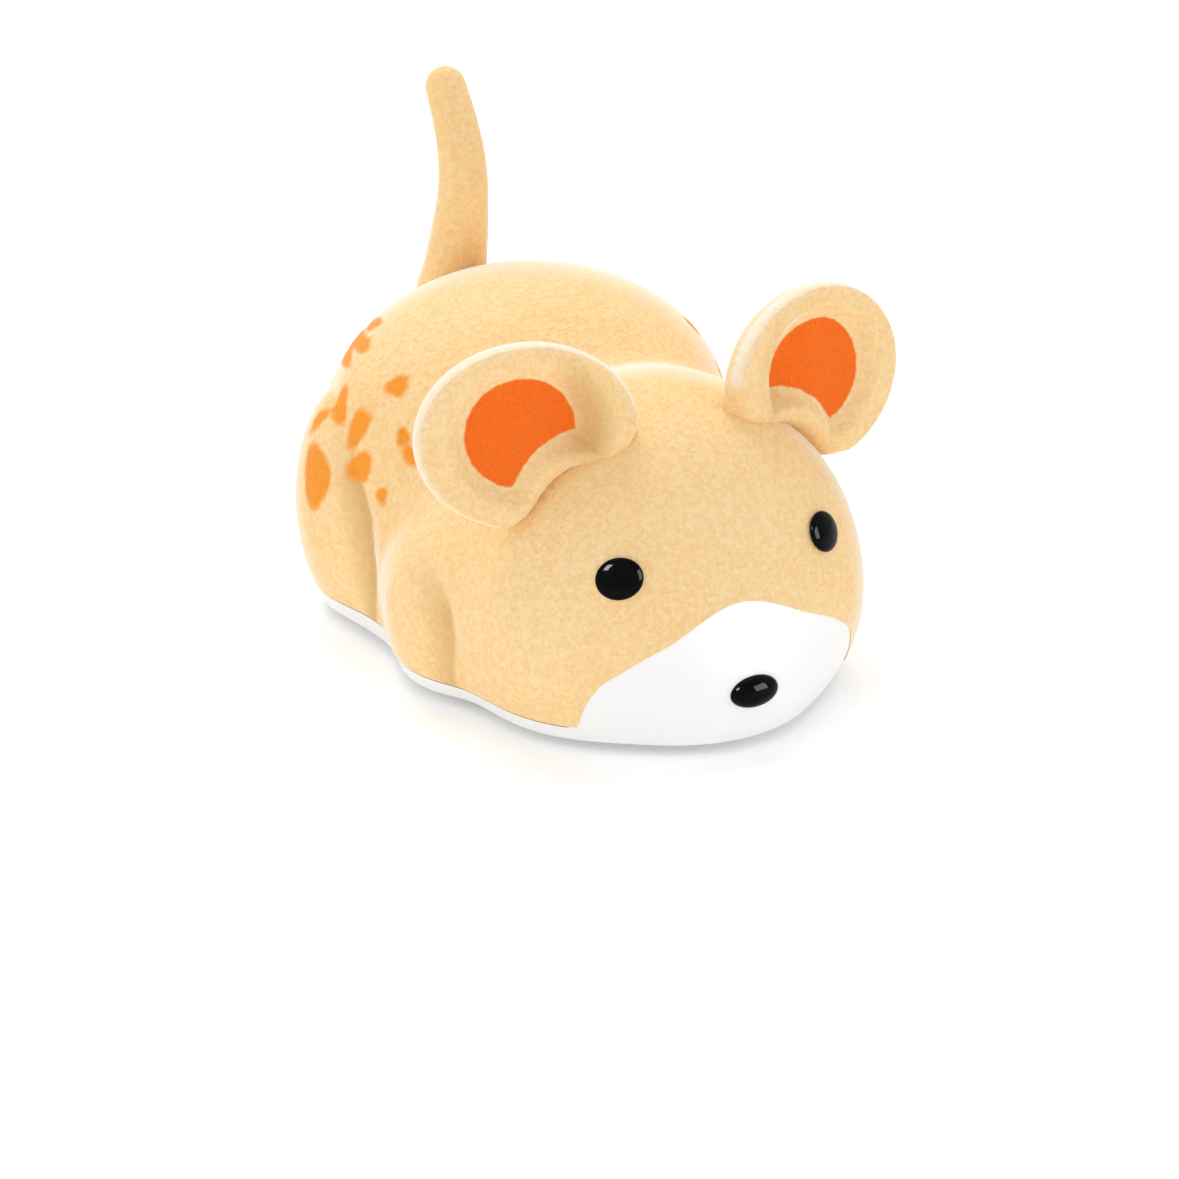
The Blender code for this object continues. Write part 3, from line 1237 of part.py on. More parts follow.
def rounded_slot(half_width, half_height, count=5):
    """A slot outline with round ends, about the origin."""
    centre = half_width - half_height
    right = arc((centre, 0.0), half_height, math.radians(-90.0), math.radians(90.0), count)
    left = arc((-centre, 0.0), half_height, math.radians(90.0), math.radians(270.0), count)
    return right + left


def socket_middle():
    """Height and rear face of the charging socket under the board."""
    height = BOARD_Z - FIT - SOCKET_HEIGHT / 2
    inner = cast_to_form(np.array([[0.0, BODY_Y, height]]), np.array([[0.0, 1.0, 0.0]]), -SHELL_WALL)
    edge = cast_to_form(np.array([[SOCKET_WIDTH / 2, BODY_Y, height]]), np.array([[0.0, 1.0, 0.0]]),
                        -SHELL_WALL)
    return height, min(inner[0][1], edge[0][1]) - CLEARANCE


def facing_rear(y, z):
    """A placement whose local X, Y and Z are the world's -X, Z and Y."""
    return Matrix(((-1.0, 0.0, 0.0, 0.0), (0.0, 0.0, 1.0, y), (0.0, 1.0, 0.0, z),
                   (0.0, 0.0, 0.0, 1.0)))


def make_socket(finish):
    """The charging socket: a slot-shaped sleeve with a tongue inside."""
    z, rear = socket_middle()
    outer = rounded_slot(SOCKET_WIDTH / 2, SOCKET_HEIGHT / 2)
    inner = rounded_slot(SOCKET_WIDTH / 2 - SOCKET_SKIN, SOCKET_HEIGHT / 2 - SOCKET_SKIN, 6)
    socket = outline_solid("charging_socket", [outer], SOCKET_LENGTH,
                           facing_rear(rear - SOCKET_LENGTH / 2, z), finish)
    depth = SOCKET_LENGTH - SOCKET_TONGUE
    pocket = outline_solid("socket_pocket", [inner], depth, facing_rear(rear - depth / 2 + OVERRUN, z))
    cut(socket, pocket)
    half = SOCKET_WIDTH / 2 - 3 * SOCKET_TONGUE / 2
    join(socket, box("socket_tongue", (-half, rear - SOCKET_LENGTH + SOCKET_SKIN, z - SOCKET_TONGUE / 2),
                     (half, rear - SOCKET_TONGUE * 2, z + SOCKET_TONGUE / 2)))
    return socket


def socket_opening():
    """The rounded opening in the rump behind the charging socket."""
    z, rear = socket_middle()
    grown = rounded_slot(SOCKET_WIDTH / 2 + CLEARANCE, SOCKET_HEIGHT / 2 + CLEARANCE)
    length = SHELL_WALL * 2 + OVERRUN
    return outline_solid("socket_opening", [grown], length, facing_rear(rear + length / 2 - CLEARANCE, z))


def make_lead(name, start, heading, end, finish):
    """An insulated wire that leaves a terminal along a heading and rises into the board."""
    start, end = np.array(start, float), np.array(end, float)
    upwards = np.array((0.0, 0.0, 1.0))
    bend = start + np.array(heading) * LEAD_BEND
    level = (end - bend) * (1.0, 1.0, 0.0)
    corner = bend + upwards * (end - bend)[2] * LEAD_RISE_SHARE + level * LEAD_DRIFT_SHARE
    curve = bpy.data.curves.new(name, "CURVE")
    curve.dimensions = "3D"
    curve.bevel_depth = LEAD_RADIUS
    curve.bevel_resolution = 1
    curve.use_fill_caps = True
    line = smooth_line([start, bend, corner, end - upwards * LEAD_BEND, end], 3)
    spline = curve.splines.new("POLY")
    spline.points.add(len(line) - 1)
    for point, place in zip(spline.points, line):
        point.co = (*place, 1.0)
    smooth(as_mesh(add_object(name + "_line", curve), name, finish))


def make_leads(finishes):
    """The pairs of wires from the battery, the motors and the switch up to the board."""
    under = BOARD_Z - CLEARANCE
    edge = BOARD_HALF_WIDTH - LEAD_EDGE
    front = BOARD_CENTRE_Y - BOARD_LENGTH / 2
    corner = BOARD_HALF_WIDTH * BOARD_CORNER_SHARE
    x_of = train_stations()
    for step, colour in ((-1, "red"), (1, "black")):
        finish = finishes[colour + "_lead"]
        x = step * LEAD_SPACING / 2
        make_lead("battery_lead_" + colour, (x, battery_back() + CLEARANCE,
                  battery_bottom() + BATTERY_HEIGHT * BATTERY_TAB_SHARE), (0.0, 1.0, 0.0),
                  (x, front + LEAD_EDGE, under), finish)
        for side in (-1, 1):
            _, (y, z), _, _ = train_places(side)
            shift = (1 + step) * LEAD_SPACING / 2
            x = side * (x_of["plate_outer"] - MOTOR_LENGTH * TERMINAL_SHARE + shift)
            landing = np.clip(y, front + corner + LEAD_SPACING / 2,
                              front + BOARD_LENGTH - corner - LEAD_SPACING / 2)
            make_lead(("right", "left")[side > 0] + "_motor_lead_" + colour,
                      (x, y, z + MOTOR_RADIUS + CLEARANCE), (0.0, 0.0, 1.0),
                      (-side * (edge - shift), landing, under), finish)
        make_lead("switch_lead_" + colour,
                  (SWITCH_X, SWITCH_Y + step * SWITCH_LENGTH * SWITCH_TAB_SHARE,
                   FLOOR_TOP + SWITCH_HEIGHT + 2 * CLEARANCE), (0.0, 0.0, 1.0),
                  (edge, front + corner + (1 + step) * LEAD_SPACING / 2, under), finish)


def make_switch(finishes):
    """The slide switch on the floor, with its knob in the slot below."""
    bottom = FLOOR_TOP + CLEARANCE
    low = (SWITCH_X - SWITCH_WIDTH / 2, SWITCH_Y - SWITCH_LENGTH / 2, bottom)
    high = (SWITCH_X + SWITCH_WIDTH / 2, SWITCH_Y + SWITCH_LENGTH / 2, bottom + SWITCH_HEIGHT)
    body = box("power_switch", low, high, finishes["steel"])
    half_width = KNOB_WIDTH / 2 + CLEARANCE
    half_length = (KNOB_LENGTH + KNOB_TRAVEL) / 2 + CLEARANCE
    cut(body, box("knob_pocket", (SWITCH_X - half_width, SWITCH_Y - half_length, bottom - OVERRUN),
                  (SWITCH_X + half_width, SWITCH_Y + half_length, bottom + KNOB_GRIP + CLEARANCE)))
    knob_y = SWITCH_Y - KNOB_TRAVEL / 2
    bevelled_box("switch_knob", (SWITCH_X - KNOB_WIDTH / 2, knob_y - KNOB_LENGTH / 2,
                                 BASE_Z + EDGE_BEVEL),
                 (SWITCH_X + KNOB_WIDTH / 2, knob_y + KNOB_LENGTH / 2, bottom + KNOB_GRIP),
                 finishes["epoxy"], EDGE_BEVEL / 2)


# Assembly

def build():
    """Make every piece of the toy."""
    finishes = {
        "flock": material("cream_flock", (0.93, 0.66, 0.33), 0.95),
        "white": material("white_plastic", (0.90, 0.90, 0.88), 0.35),
        "bead": material("black_bead", (0.006, 0.006, 0.008), 0.08),
        "nylon": material("white_nylon", (0.80, 0.80, 0.76), 0.45),
        "frame": material("grey_plastic", (0.35, 0.36, 0.38), 0.5),
        "rubber": material("black_rubber", (0.03, 0.03, 0.03), 0.8),
        "steel": material("steel", (0.62, 0.62, 0.64), 0.3, 1.0),
        "brass": material("brass", (0.78, 0.57, 0.25), 0.3, 1.0),
        "foil": material("battery_foil", (0.60, 0.62, 0.66), 0.4, 0.6),
        "board": material("green_board", (0.02, 0.20, 0.07), 0.45),
        "epoxy": material("black_epoxy", (0.02, 0.02, 0.02), 0.5),
        "red_lead": material("red_insulation", (0.55, 0.02, 0.02), 0.5),
        "black_lead": material("black_insulation", (0.015, 0.015, 0.015), 0.5),
    }
    upper = make_upper_shell(finishes["flock"])
    lower = make_lower_shell(finishes["white"])
    for side in (-1, 1):
        name = ("right", "left")[side > 0]
        make_ear(side, finishes["flock"])
        cut(upper, ear_tab(name + "_ear_slot", side, FIT))
        turned(name + "_eye", bead_profile(EYE_HALF_WIDTH, EYE_DOME, EYE_SEAT), eye_placement(side),
               finishes["bead"], sides=BEAD_SIDES)
        cut(upper, turned(name + "_eye_hole", bead_seat_profile(EYE_HALF_WIDTH, EYE_SEAT),
                          eye_placement(side), sides=BEAD_SIDES))
        make_wheel_side(side, finishes)
    turned("nose", bead_profile(NOSE_HALF_WIDTH, NOSE_DOME, EYE_SEAT), nose_placement(),
           finishes["bead"], sides=BEAD_SIDES)
    cut(lower, turned("nose_hole", bead_seat_profile(NOSE_HALF_WIDTH, EYE_SEAT), nose_placement(),
                      sides=BEAD_SIDES))
    make_tail(finishes["flock"])
    cut(upper, tail_plug("tail_hole", FIT), socket_opening())
    x_of = train_stations()
    cylinder("wheel_axle", (-x_of["axle_end"], AXLE_Y, AXLE_Z), (x_of["axle_end"], AXLE_Y, AXLE_Z),
             AXLE_RADIUS, finishes["steel"])
    make_drive_frame(finishes["frame"])
    make_caster(finishes)
    make_electronics(finishes)
    make_leads(finishes)
    land = BASE_Z + BOSS_HEIGHT - BOSS_LAND - CLEARANCE / 2
    for place, (x, y) in shell_screw_places().items():
        make_screw("shell_screw_" + place, (x, y, land), (0.0, 0.0, 1.0), SHELL_SCREW_LENGTH,
                   finishes["steel"])
    for place, (x, y) in frame_screw_places().items():
        head = web_bottom() + WEB_THICKNESS + CLEARANCE / 2
        make_screw("frame_screw_" + place, (x, y, head), (0.0, 0.0, -1.0), FRAME_SCREW_LENGTH,
                   finishes["steel"])


build()
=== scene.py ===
"""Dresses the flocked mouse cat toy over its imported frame. Metres, +Z up, snout along -Y."""
import math

import bpy
import numpy as np
from mathutils import Matrix, Vector


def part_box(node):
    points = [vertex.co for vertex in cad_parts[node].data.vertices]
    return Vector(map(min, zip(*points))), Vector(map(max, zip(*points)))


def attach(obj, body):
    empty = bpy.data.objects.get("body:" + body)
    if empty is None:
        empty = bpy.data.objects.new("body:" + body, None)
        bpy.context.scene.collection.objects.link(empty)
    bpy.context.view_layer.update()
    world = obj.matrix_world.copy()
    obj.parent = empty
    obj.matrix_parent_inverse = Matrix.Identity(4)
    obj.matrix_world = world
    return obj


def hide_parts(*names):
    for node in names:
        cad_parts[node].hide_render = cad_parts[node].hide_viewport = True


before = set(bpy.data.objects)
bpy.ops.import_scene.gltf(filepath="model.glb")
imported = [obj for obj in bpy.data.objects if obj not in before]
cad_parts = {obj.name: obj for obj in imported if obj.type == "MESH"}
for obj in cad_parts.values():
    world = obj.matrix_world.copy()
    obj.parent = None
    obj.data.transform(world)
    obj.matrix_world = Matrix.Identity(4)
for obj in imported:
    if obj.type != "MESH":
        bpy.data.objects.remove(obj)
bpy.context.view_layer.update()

# Camera of the photograph
AZIMUTH = math.radians(-29.364)
ELEVATION = math.radians(24.484)
DISTANCE = 0.380
AIM = Vector((0.002534, 0.004469, 0.001390))
LENS = 133.44
SENSOR = 36.0
BACK = Vector((math.sin(AZIMUTH) * math.cos(ELEVATION), -math.cos(AZIMUTH) * math.cos(ELEVATION),
               math.sin(ELEVATION)))
EYE_POINT = AIM + BACK * DISTANCE

# Moulded form, the same lumps as the solids: centre, half sizes, lower half height, corner power
BLEND = 0.001
LUMPS = [((0.0, 0.0112, 0.0159), (0.0176, 0.0161, 0.0129), 0.060, 2.0),
         ((0.0, -0.0095, 0.0077), (0.0179, 0.0155, 0.0187), 0.0150, 2.5),
         ((0.0, 0.0025, 0.0070), (0.0169, 0.0120, 0.0150), 0.060, 2.5),
         ((0.0, -0.0191, 0.0052), (0.0100, 0.0081, 0.0070), 0.0090, 2.0)]
for SIDE in (-1, 1):
    LUMPS.append(((SIDE * 0.0164, 0.0137, 0.0096), (0.0035, 0.0060, 0.0085), 0.0088, 2.0))
    LUMPS.append(((SIDE * 0.0157, -0.0033, 0.0068), (0.0044, 0.0064, 0.0066), 0.0078, 2.0))

# How the form is traced: rays start in the body's core, or for the front view in the head's plane
CORE = (0.0, 0.0005, 0.009)
HEAD_CORE_Y = -0.0095
RAY_LENGTH = 0.040
RAY_STEPS = 61
RAY_HALVINGS = 16
SLOPE_STEP = 1e-4

# How finely each block of the form is divided
SHELL_CUTS = 107
SKIN_CUTS = 71
ROOT_CUTS = 31
ROOM_CUTS = 23

# Heights of the underside and of the seam between the shells
BASE_Z = 0.0010
PARTING_Z = 0.0023
SEAM = 0.0002
FLOCK_BOTTOM = PARTING_Z + SEAM

# Walls of the flocked shell and of the white skin, which lies below the pile by the flock's step
WALL = 0.0013
FLOCK_STEP = 0.00025
SKIN_LIFT = 0.00016
SKIN_WALL = 0.0009
SKIN_BELOW = 0.00004
# How far below the underside a shell's room starts, and how deep ears and tail sink into the flock
ROOM_BELOW = 0.001
ROOT_SINK = 0.0003

# Block that keeps the skin's strip and muzzle, and the opening around the charging socket
STRIP_SIDE = 0.12
STRIP_BELOW = 0.002
SOCKET_ROOM = (0.0095, 0.006, 0.0037)
SOCKET_ROUNDING = 0.00184
SOCKET_BEVEL_STEPS = 6
SOCKET_ROOM_BEHIND = 0.002

# Muzzle in the front view: its outline in shares of half width and height, from the floor up
MUZZLE_GAP = 0.00003
MUZZLE_LAP = 0.0004
MUZZLE_PIECES = 10
MUZZLE_HALF_WIDTH = 0.0125
MUZZLE_TOP = 0.01252
MUZZLE_BACK_Y = -0.0135
MUZZLE_FRONT_Y = -0.0331
MUZZLE_SHARES = ((1.00, 0.00), (1.02, 0.22), (1.008, 0.39), (0.945, 0.535), (0.855, 0.615),
                 (0.70, 0.715), (0.48, 0.82), (0.31, 0.905), (0.15, 0.965), (0.0, 0.988))

# Creases of the flanks, as y and z along each: before the haunch, before and behind the paw, over
# the haunch. Each has the height it fades out at, its depth, the reach of its rear or lower side
# and of its other side, and how dark the painted shade on its first side is
CREASES = ((((0.0096, 0.0185), (0.0084, 0.0155), (0.0075, 0.0136), (0.0066, 0.0116),
             (0.0062, 0.0095), (0.0059, 0.0065), (0.0056, 0.0042), (0.0055, 0.0)),
            0.0185, 0.00090, 0.0024, 0.0022, 0.75),
           (((-0.0030, 0.0136), (-0.0052, 0.0126), (-0.0067, 0.0118), (-0.0079, 0.0108),
             (-0.0088, 0.0095), (-0.0094, 0.0071), (-0.0093, 0.0047), (-0.0087, 0.0)),
            0.0136, 0.00095, 0.0026, 0.0026, 0.60),
           (((-0.0022, 0.0130), (-0.0006, 0.0112), (0.0004, 0.0085), (0.0007, 0.0050),
             (0.0006, 0.0)),
            0.0130, 0.00015, 0.0020, 0.0016, 0.10),
           (((0.0185, 0.0196), (0.0160, 0.0202), (0.0138, 0.0199), (0.0120, 0.0194),
             (0.0106, 0.0188), (0.0095, 0.0178), (0.0088, 0.0168)),
            0.0265, 0.00045, 0.0022, 0.0024, 0.12))
CREASE_FADE = 0.0050
CREASE_POWER = 1.6
CREASE_SHADE_POWER = 1.2
CREASE_SHADE_REACH = 0.0005
# Creases are full from this height up, and from the first to the second distance from the middle
CREASE_FULL_Z = 0.0075
FLANK_X = (0.0120, 0.0155)

# Ears, in each ear's own plane: u outwards, v up, w out of the dish
EAR_AT = (0.0134, -0.0136, 0.0256)
EAR_TURNS = (13.5, -9.0, -2.1)
EAR_HALF_WIDTH = 0.0093
EAR_HALF_HEIGHT = 0.0076
EAR_RIM = 0.0018
DISH_FLOOR = 0.0001
DISH_TILT = 0.20
DISH_SLOPE = 0.0025
PATCH_MIDDLE = (0.00045, 0.00022)
PATCH_RADII = (0.0047, 0.00445)
PATCH_INSIDE = -0.0002
FAR_FROM_PATCH = 0.01
BITE_MIDDLE = (-0.00492, -0.00635)
BITE_RADIUS = 0.0065
# Where the ear's edge goes down into the head, with its depth there
EAR_FOOT = ((-0.0115, 0.0010, -0.0010), (-0.0095, -0.0006, -0.0002),
            (-0.00826, -0.00146, 0.0004), (-0.00676, -0.00215, 0.0006),
            (-0.00484, -0.00262, 0.0001), (-0.00358, -0.00295, -0.0005),
            (-0.00258, -0.00356, -0.0007), (-0.00187, -0.0042, -0.0007),
            (-0.00111, -0.00515, -0.0006), (-0.00035, -0.00626, -0.0005),
            (0.00031, -0.00703, -0.0008), (0.0009, -0.0085, -0.0010))
EAR_FOOT_RIDGE = 0.0011
EAR_FOOT_ROLL = 0.0013
EAR_FOOT_SLOPE = 1.2
# The ball's rings up to this share make the face, and the others the rim's round
EAR_FACE_SHARE = 0.6
EAR_SEGMENTS = 96
EAR_RINGS = 72
# The back: how much it bulges, how far it stays behind the foot's ridge, and up to which bend
EAR_BACK_BULGE = 0.06
EAR_BACK_GAP = 0.0006
EAR_LAST_BEND = 1.5
# A mound behind the root: its middle, half sizes and height
ROOT_MIDDLE = (-0.0060, -0.0030)
ROOT_HALF = (0.0075, 0.0060)
ROOT_MOUND = 0.0012
# Painted shade on the wall nearest the head, by side: where it starts and is full, and its band
# around the patch
INNER_WALL_SHADES = {-1: 0.6, 1: 0.2}
INNER_WALL_U = (0.0015, 0.0050)
INNER_WALL_EDGE = 0.0011
INNER_WALL_BAND = (-0.0022, -0.0004)
# Painted rim light on the ear's roll: between which bends, heights and distances from the foot it
# comes up, and its share on the back
PALE_BEND = (0.55, 1.45)
PALE_V = (-0.0065, -0.0010)
PALE_PAST = (0.0, 0.0030)
PALE_BEHIND = 0.4

# Beads
EYE_HALF_WIDTH = 0.00195
EYE_HALF_HEIGHT = 0.0017
EYE_DOME = 0.0006
EYE_TURN = 0.11
EYE_X = 0.0096
EYE_Z = 0.0155
NOSE_HALF_WIDTH = 0.0022
NOSE_HALF_HEIGHT = 0.00137
NOSE_DOME = 0.0011
NOSE_Z = 0.0055
BEAD_BACK = 0.0006
BEAD_SEGMENTS = 48
BEAD_RINGS = 32

# Tail, as y and z: where it leaves the rump, and where its line starts inside
TAIL_ROOT = (0.0246, 0.0210)
TAIL_BURIED = (0.0205, 0.0172)
TAIL_HEIGHT = 0.0431
TAIL_LEAN = 0.0022
TAIL_HOOK = 0.0018
# Radii at shares of the length, and the share of the ball's rings below the round tip
TAIL_RADII = (0.00313, 0.0029, 0.00225, 0.0017)
TAIL_RADIUS_SHARES = (0.20, 0.32, 0.60, 1.0)
TAIL_CAP_SHARE = 0.88
TAIL_SEGMENTS = 40
TAIL_RINGS = 100
TAIL_PIECES = 16
# The tail's line on its way up, as shares of its rise and of its lean
TAIL_SWINGS = ((0.0, 0.30), (0.22, -0.30), (0.45, -0.85), (0.63, -1.0), (0.80, -0.45))

# Coloured spots of the right flank: place, half sizes, and tilt in degrees along the surface
SPOTS = (((-0.0114, 0.0173, 0.0244), (0.00169, 0.00084), 24),
         ((-0.0128, 0.0179, 0.0230), (0.00245, 0.00111), 20),
         ((-0.0143, 0.0168, 0.0221), (0.00216, 0.00080), 5),
         ((-0.0136, 0.0151, 0.0236), (0.00141, 0.00085), 10),
         ((-0.0174, 0.0124, 0.0199), (0.00178, 0.00103), 121),
         ((-0.0184, 0.0144, 0.0180), (0.00154, 0.00071), 62),
         ((-0.0174, 0.0090, 0.0190), (0.00195, 0.00111), 69),
         ((-0.0144, 0.0073, 0.0228), (0.00119, 0.00098), 25),
         ((-0.0197, 0.0126, 0.0137), (0.00283, 0.00203), 98),
         ((-0.0179, 0.0078, 0.0159), (0.00176, 0.00119), 45),
         ((-0.0154, 0.0044, 0.0194), (0.00084, 0.00069), 110),
         ((-0.0153, 0.0032, 0.0182), (0.00106, 0.00075), 145),
         ((-0.0171, 0.0051, 0.0142), (0.00083, 0.00063), 65))
SPOT_REACH = 0.004
SPOT_WAVE = 0.10
SPOT_LOBES = 3.0
SPOT_PHASE = 7.0
FAR_FROM_SPOTS = 9.0
MILLIMETRES = 1000.0

# Points that lie closer than this become one, in any piece and in a cut piece
WELD = 1e-7
MERGE_DISTANCE = 2e-6

# Linear colours of the pile, and the colours of its painted shade and painted sheen
CREAM = (0.950, 0.660, 0.314, 1.0)
CREAM_LIGHT = (0.986, 0.746, 0.405, 1.0)
CREAM_DARK = (0.920, 0.520, 0.195, 1.0)
# Painted shade colour for the creases and the ears' inner walls
CREAM_PAINTED_SHADE = (0.660, 0.390, 0.140, 1.0)
SPOT = (0.985, 0.350, 0.035, 1.0)
PATCH = (0.985, 0.170, 0.010, 1.0)
# Painted sheen and painted rim light colour
PAINTED_SHEEN_CREAM = (1.0, 0.93, 0.80, 1.0)
SPOT_DEPTH = 0.90
# How much painted sheen shows at a grazing view and how much painted rim light where it is stored,
# and the pile's relief
RIM_SHARE = 0.85
PAINTED_RIM_LIGHT_SHARE = 0.75
PILE_RELIEF = 0.00030

# Lights: name, place, size, power, aim, and whether it lights the pile or only glints
LIGHTS = (("overhead", (0.06, 0.30, 0.52), 0.40, 1.7, (0.0, 0.0, 0.01), True),
          ("left_soft", (-0.55, -0.30, 0.40), 0.35, 0.12, (0.0, 0.0, 0.015), True),
          ("left_glint", (-0.29, -0.10, 0.33), 0.13, 5.2, (0.0, 0.0, 0.015), False),
          ("right_glint", (0.21, -0.34, 0.15), 0.23, 4.4, (0.0, -0.02, 0.01), False))
SKY_STRENGTH = 0.80
FLOOR_GLOW = 0.11
FLOOR_SIDE = 8.0
FLOOR_Z = -0.00002


# Modelling helpers

def deselect():
    """Leave nothing selected, in object mode."""
    if bpy.context.object and bpy.context.object.mode != "OBJECT":
        bpy.ops.object.mode_set(mode="OBJECT")
    bpy.ops.object.select_all(action="DESELECT")


def take(piece):
    """Make one piece the only selected one."""
    deselect()
    piece.select_set(True)
    bpy.context.view_layer.objects.active = piece


def named(name):
    """Name the piece that was just added."""
    piece = bpy.context.object
    piece.name = name
    piece.data.name = name
    return piece


def settle(piece):
    """Put a piece's place, turn and size into its mesh."""
    take(piece)
    bpy.ops.object.transform_apply(location=True, rotation=True, scale=True)


def place(piece, matrix):
    """Put a piece's mesh where a placement says."""
    piece.data.transform(matrix)
    piece.data.update()


def apply_modifier(piece, kind, **settings):
    """Add a modifier and apply it."""
    take(piece)
    modifier = piece.modifiers.new(kind.lower(), kind)
    for key, value in settings.items():
        setattr(modifier, key, value)
    bpy.ops.object.modifier_apply(modifier=modifier.name)


def trim(piece, cutter, operation="DIFFERENCE"):
    """Cut, join or intersect a piece with a cutter, and drop the cutter."""
    apply_modifier(piece, "BOOLEAN", object=cutter, operation=operation, solver="EXACT")
    bpy.data.objects.remove(cutter, do_unlink=True)


def edit_all(piece):
    """Open a piece in edit mode with all of it selected."""
    take(piece)
    bpy.ops.object.mode_set(mode="EDIT")
    bpy.ops.mesh.select_all(action="SELECT")


def outwards(piece):
    """Merge doubles and turn every face outwards."""
    edit_all(piece)
    bpy.ops.mesh.remove_doubles(threshold=WELD)
    bpy.ops.mesh.normals_make_consistent(inside=False)
    bpy.ops.object.mode_set(mode="OBJECT")


def drop_folds(piece):
    """Split the faces into triangles, and delete the folds that the cuts leave on a rim."""
    edit_all(piece)
    bpy.ops.mesh.select_mode(type="FACE")
    bpy.ops.mesh.select_all(action="SELECT")
    bpy.ops.mesh.remove_doubles(threshold=MERGE_DISTANCE)
    bpy.ops.mesh.quads_convert_to_tris(quad_method="BEAUTY", ngon_method="BEAUTY")
    bpy.ops.mesh.select_mode(type="EDGE")
    bpy.ops.mesh.select_all(action="DESELECT")
    bpy.ops.mesh.select_non_manifold(extend=False, use_wire=False, use_boundary=True,
                                     use_multi_face=False, use_non_contiguous=False,
                                     use_verts=False)
    bpy.ops.mesh.select_mode(type="FACE", use_expand=True)
    bpy.ops.mesh.delete(type="FACE")
    bpy.ops.mesh.select_mode(type="VERT")
    bpy.ops.mesh.select_all(action="SELECT")
    bpy.ops.mesh.delete_loose()
    bpy.ops.object.mode_set(mode="OBJECT")


def round_off(piece, angle=35.0):
    """Smooth shading that keeps edges past an angle."""
    take(piece)
    bpy.ops.object.shade_smooth_by_angle(angle=math.radians(angle))


def points_of(piece, key="co"):
    """A piece's vertices, or with the key "normal" their normals, as rows."""
    flat = np.empty(len(piece.data.vertices) * 3, np.float32)
    piece.data.vertices.foreach_get(key, flat)
    return flat.reshape(-1, 3).astype(float)


def set_points(piece, points):
    """Move a piece's vertices."""
    piece.data.vertices.foreach_set("co", np.asarray(points, np.float32).ravel())
    piece.data.update()


def keep_values(piece, name, values):
    """Store one number for each vertex."""
    layer = piece.data.attributes.new(name, "FLOAT", "POINT")
    layer.data.foreach_set("value", np.asarray(values, np.float32))


def smooth_step(value, low, high):
    """0 below low, 1 above high, and smooth between."""
    t = np.clip((value - low) / (high - low), 0.0, 1.0)
    return t * t * (3.0 - 2.0 * t)


# Moulded form

def form_value(points, grow):
    """Signed size of the blended form, negative inside."""
    total = 0.0
    for middle, half, skirt, power in LUMPS:
        offset = np.abs(points - np.array(middle))
        below = points[..., 2] < middle[2]
        half_z = np.where(below, skirt, half[2]) + grow
        flat = ((offset[..., 0] / (half[0] + grow)) ** power
                + (offset[..., 1] / (half[1] + grow)) ** power) ** (2.0 / power)
        distance = (np.sqrt(flat + (offset[..., 2] / half_z) ** 2) - 1.0) * min(half)
        total = total + np.exp(-np.clip(distance / BLEND, -60.0, 60.0))
    return -BLEND * np.log(total)


def cast(origins, directions, grow):
    """Where rays from inside last leave the form."""
    steps = np.linspace(RAY_LENGTH, 0.0, RAY_STEPS)
    near = np.zeros(len(origins))
    far = np.full(len(origins), steps[0])
    found = np.zeros(len(origins), bool)
    for step, before in zip(steps[1:], steps):
        inside = (form_value(origins + directions * step, grow) < 0.0) & ~found
        near[inside] = step
        far[inside] = before
        found |= inside
    for _ in range(RAY_HALVINGS):
        middle = (near + far) / 2
        hit = form_value(origins + directions * middle[:, None], grow) < 0.0
        near = np.where(hit, middle, near)
        far = np.where(hit, far, middle)
    return origins + directions * near[:, None]


def form_normal(point, grow=0.0):
    """Outward direction of the form at a point."""
    slopes = [form_value(point + s, grow) - form_value(point - s, grow)
              for s in np.eye(3) * SLOPE_STEP]
    return Vector([float(s) for s in slopes]).normalized()


def form_front(x, z, grow=0.0):
    """The front surface point at a place in the front view."""
    return cast(np.array([[x, HEAD_CORE_Y, z]]), np.array([[0.0, -1.0, 0.0]]), grow)[0]


def form_block(name, grow, cuts, bottom):
    """A finely divided cube pushed out to the mouse's form, cut level below."""
    deselect()
    bpy.ops.mesh.primitive_cube_add(size=2.0)
    piece = named(name)
    edit_all(piece)
    bpy.ops.mesh.subdivide(number_cuts=cuts)
    bpy.ops.object.mode_set(mode="OBJECT")
    directions = np.tan(points_of(piece) * math.pi / 4)
    directions /= np.linalg.norm(directions, axis=1)[:, None]
    set_points(piece, cast(np.tile(CORE, (len(directions), 1)), directions, grow))
    edit_all(piece)
    bpy.ops.mesh.bisect(plane_co=(0.0, 0.0, bottom), plane_no=(0.0, 0.0, 1.0), use_fill=True,
                        clear_inner=True, threshold=WELD)
    bpy.ops.object.mode_set(mode="OBJECT")
    return piece


def smooth_line(points, pieces):
    """A Catmull-Rom line through points, with some pieces per span."""
    spots = [np.array(p, float) for p in points]
    spots = [2 * spots[0] - spots[1]] + spots + [2 * spots[-1] - spots[-2]]
    line = []
    for a, b, c, d in zip(spots, spots[1:], spots[2:], spots[3:]):
        for i in range(pieces):
            t = i / pieces
            line.append(0.5 * (2 * b + (c - a) * t + (2 * a - 5 * b + 4 * c - d) * t ** 2
                               + (3 * b - a - 3 * c + d) * t ** 3))
    line.append(spots[-2])
    return np.array(line)


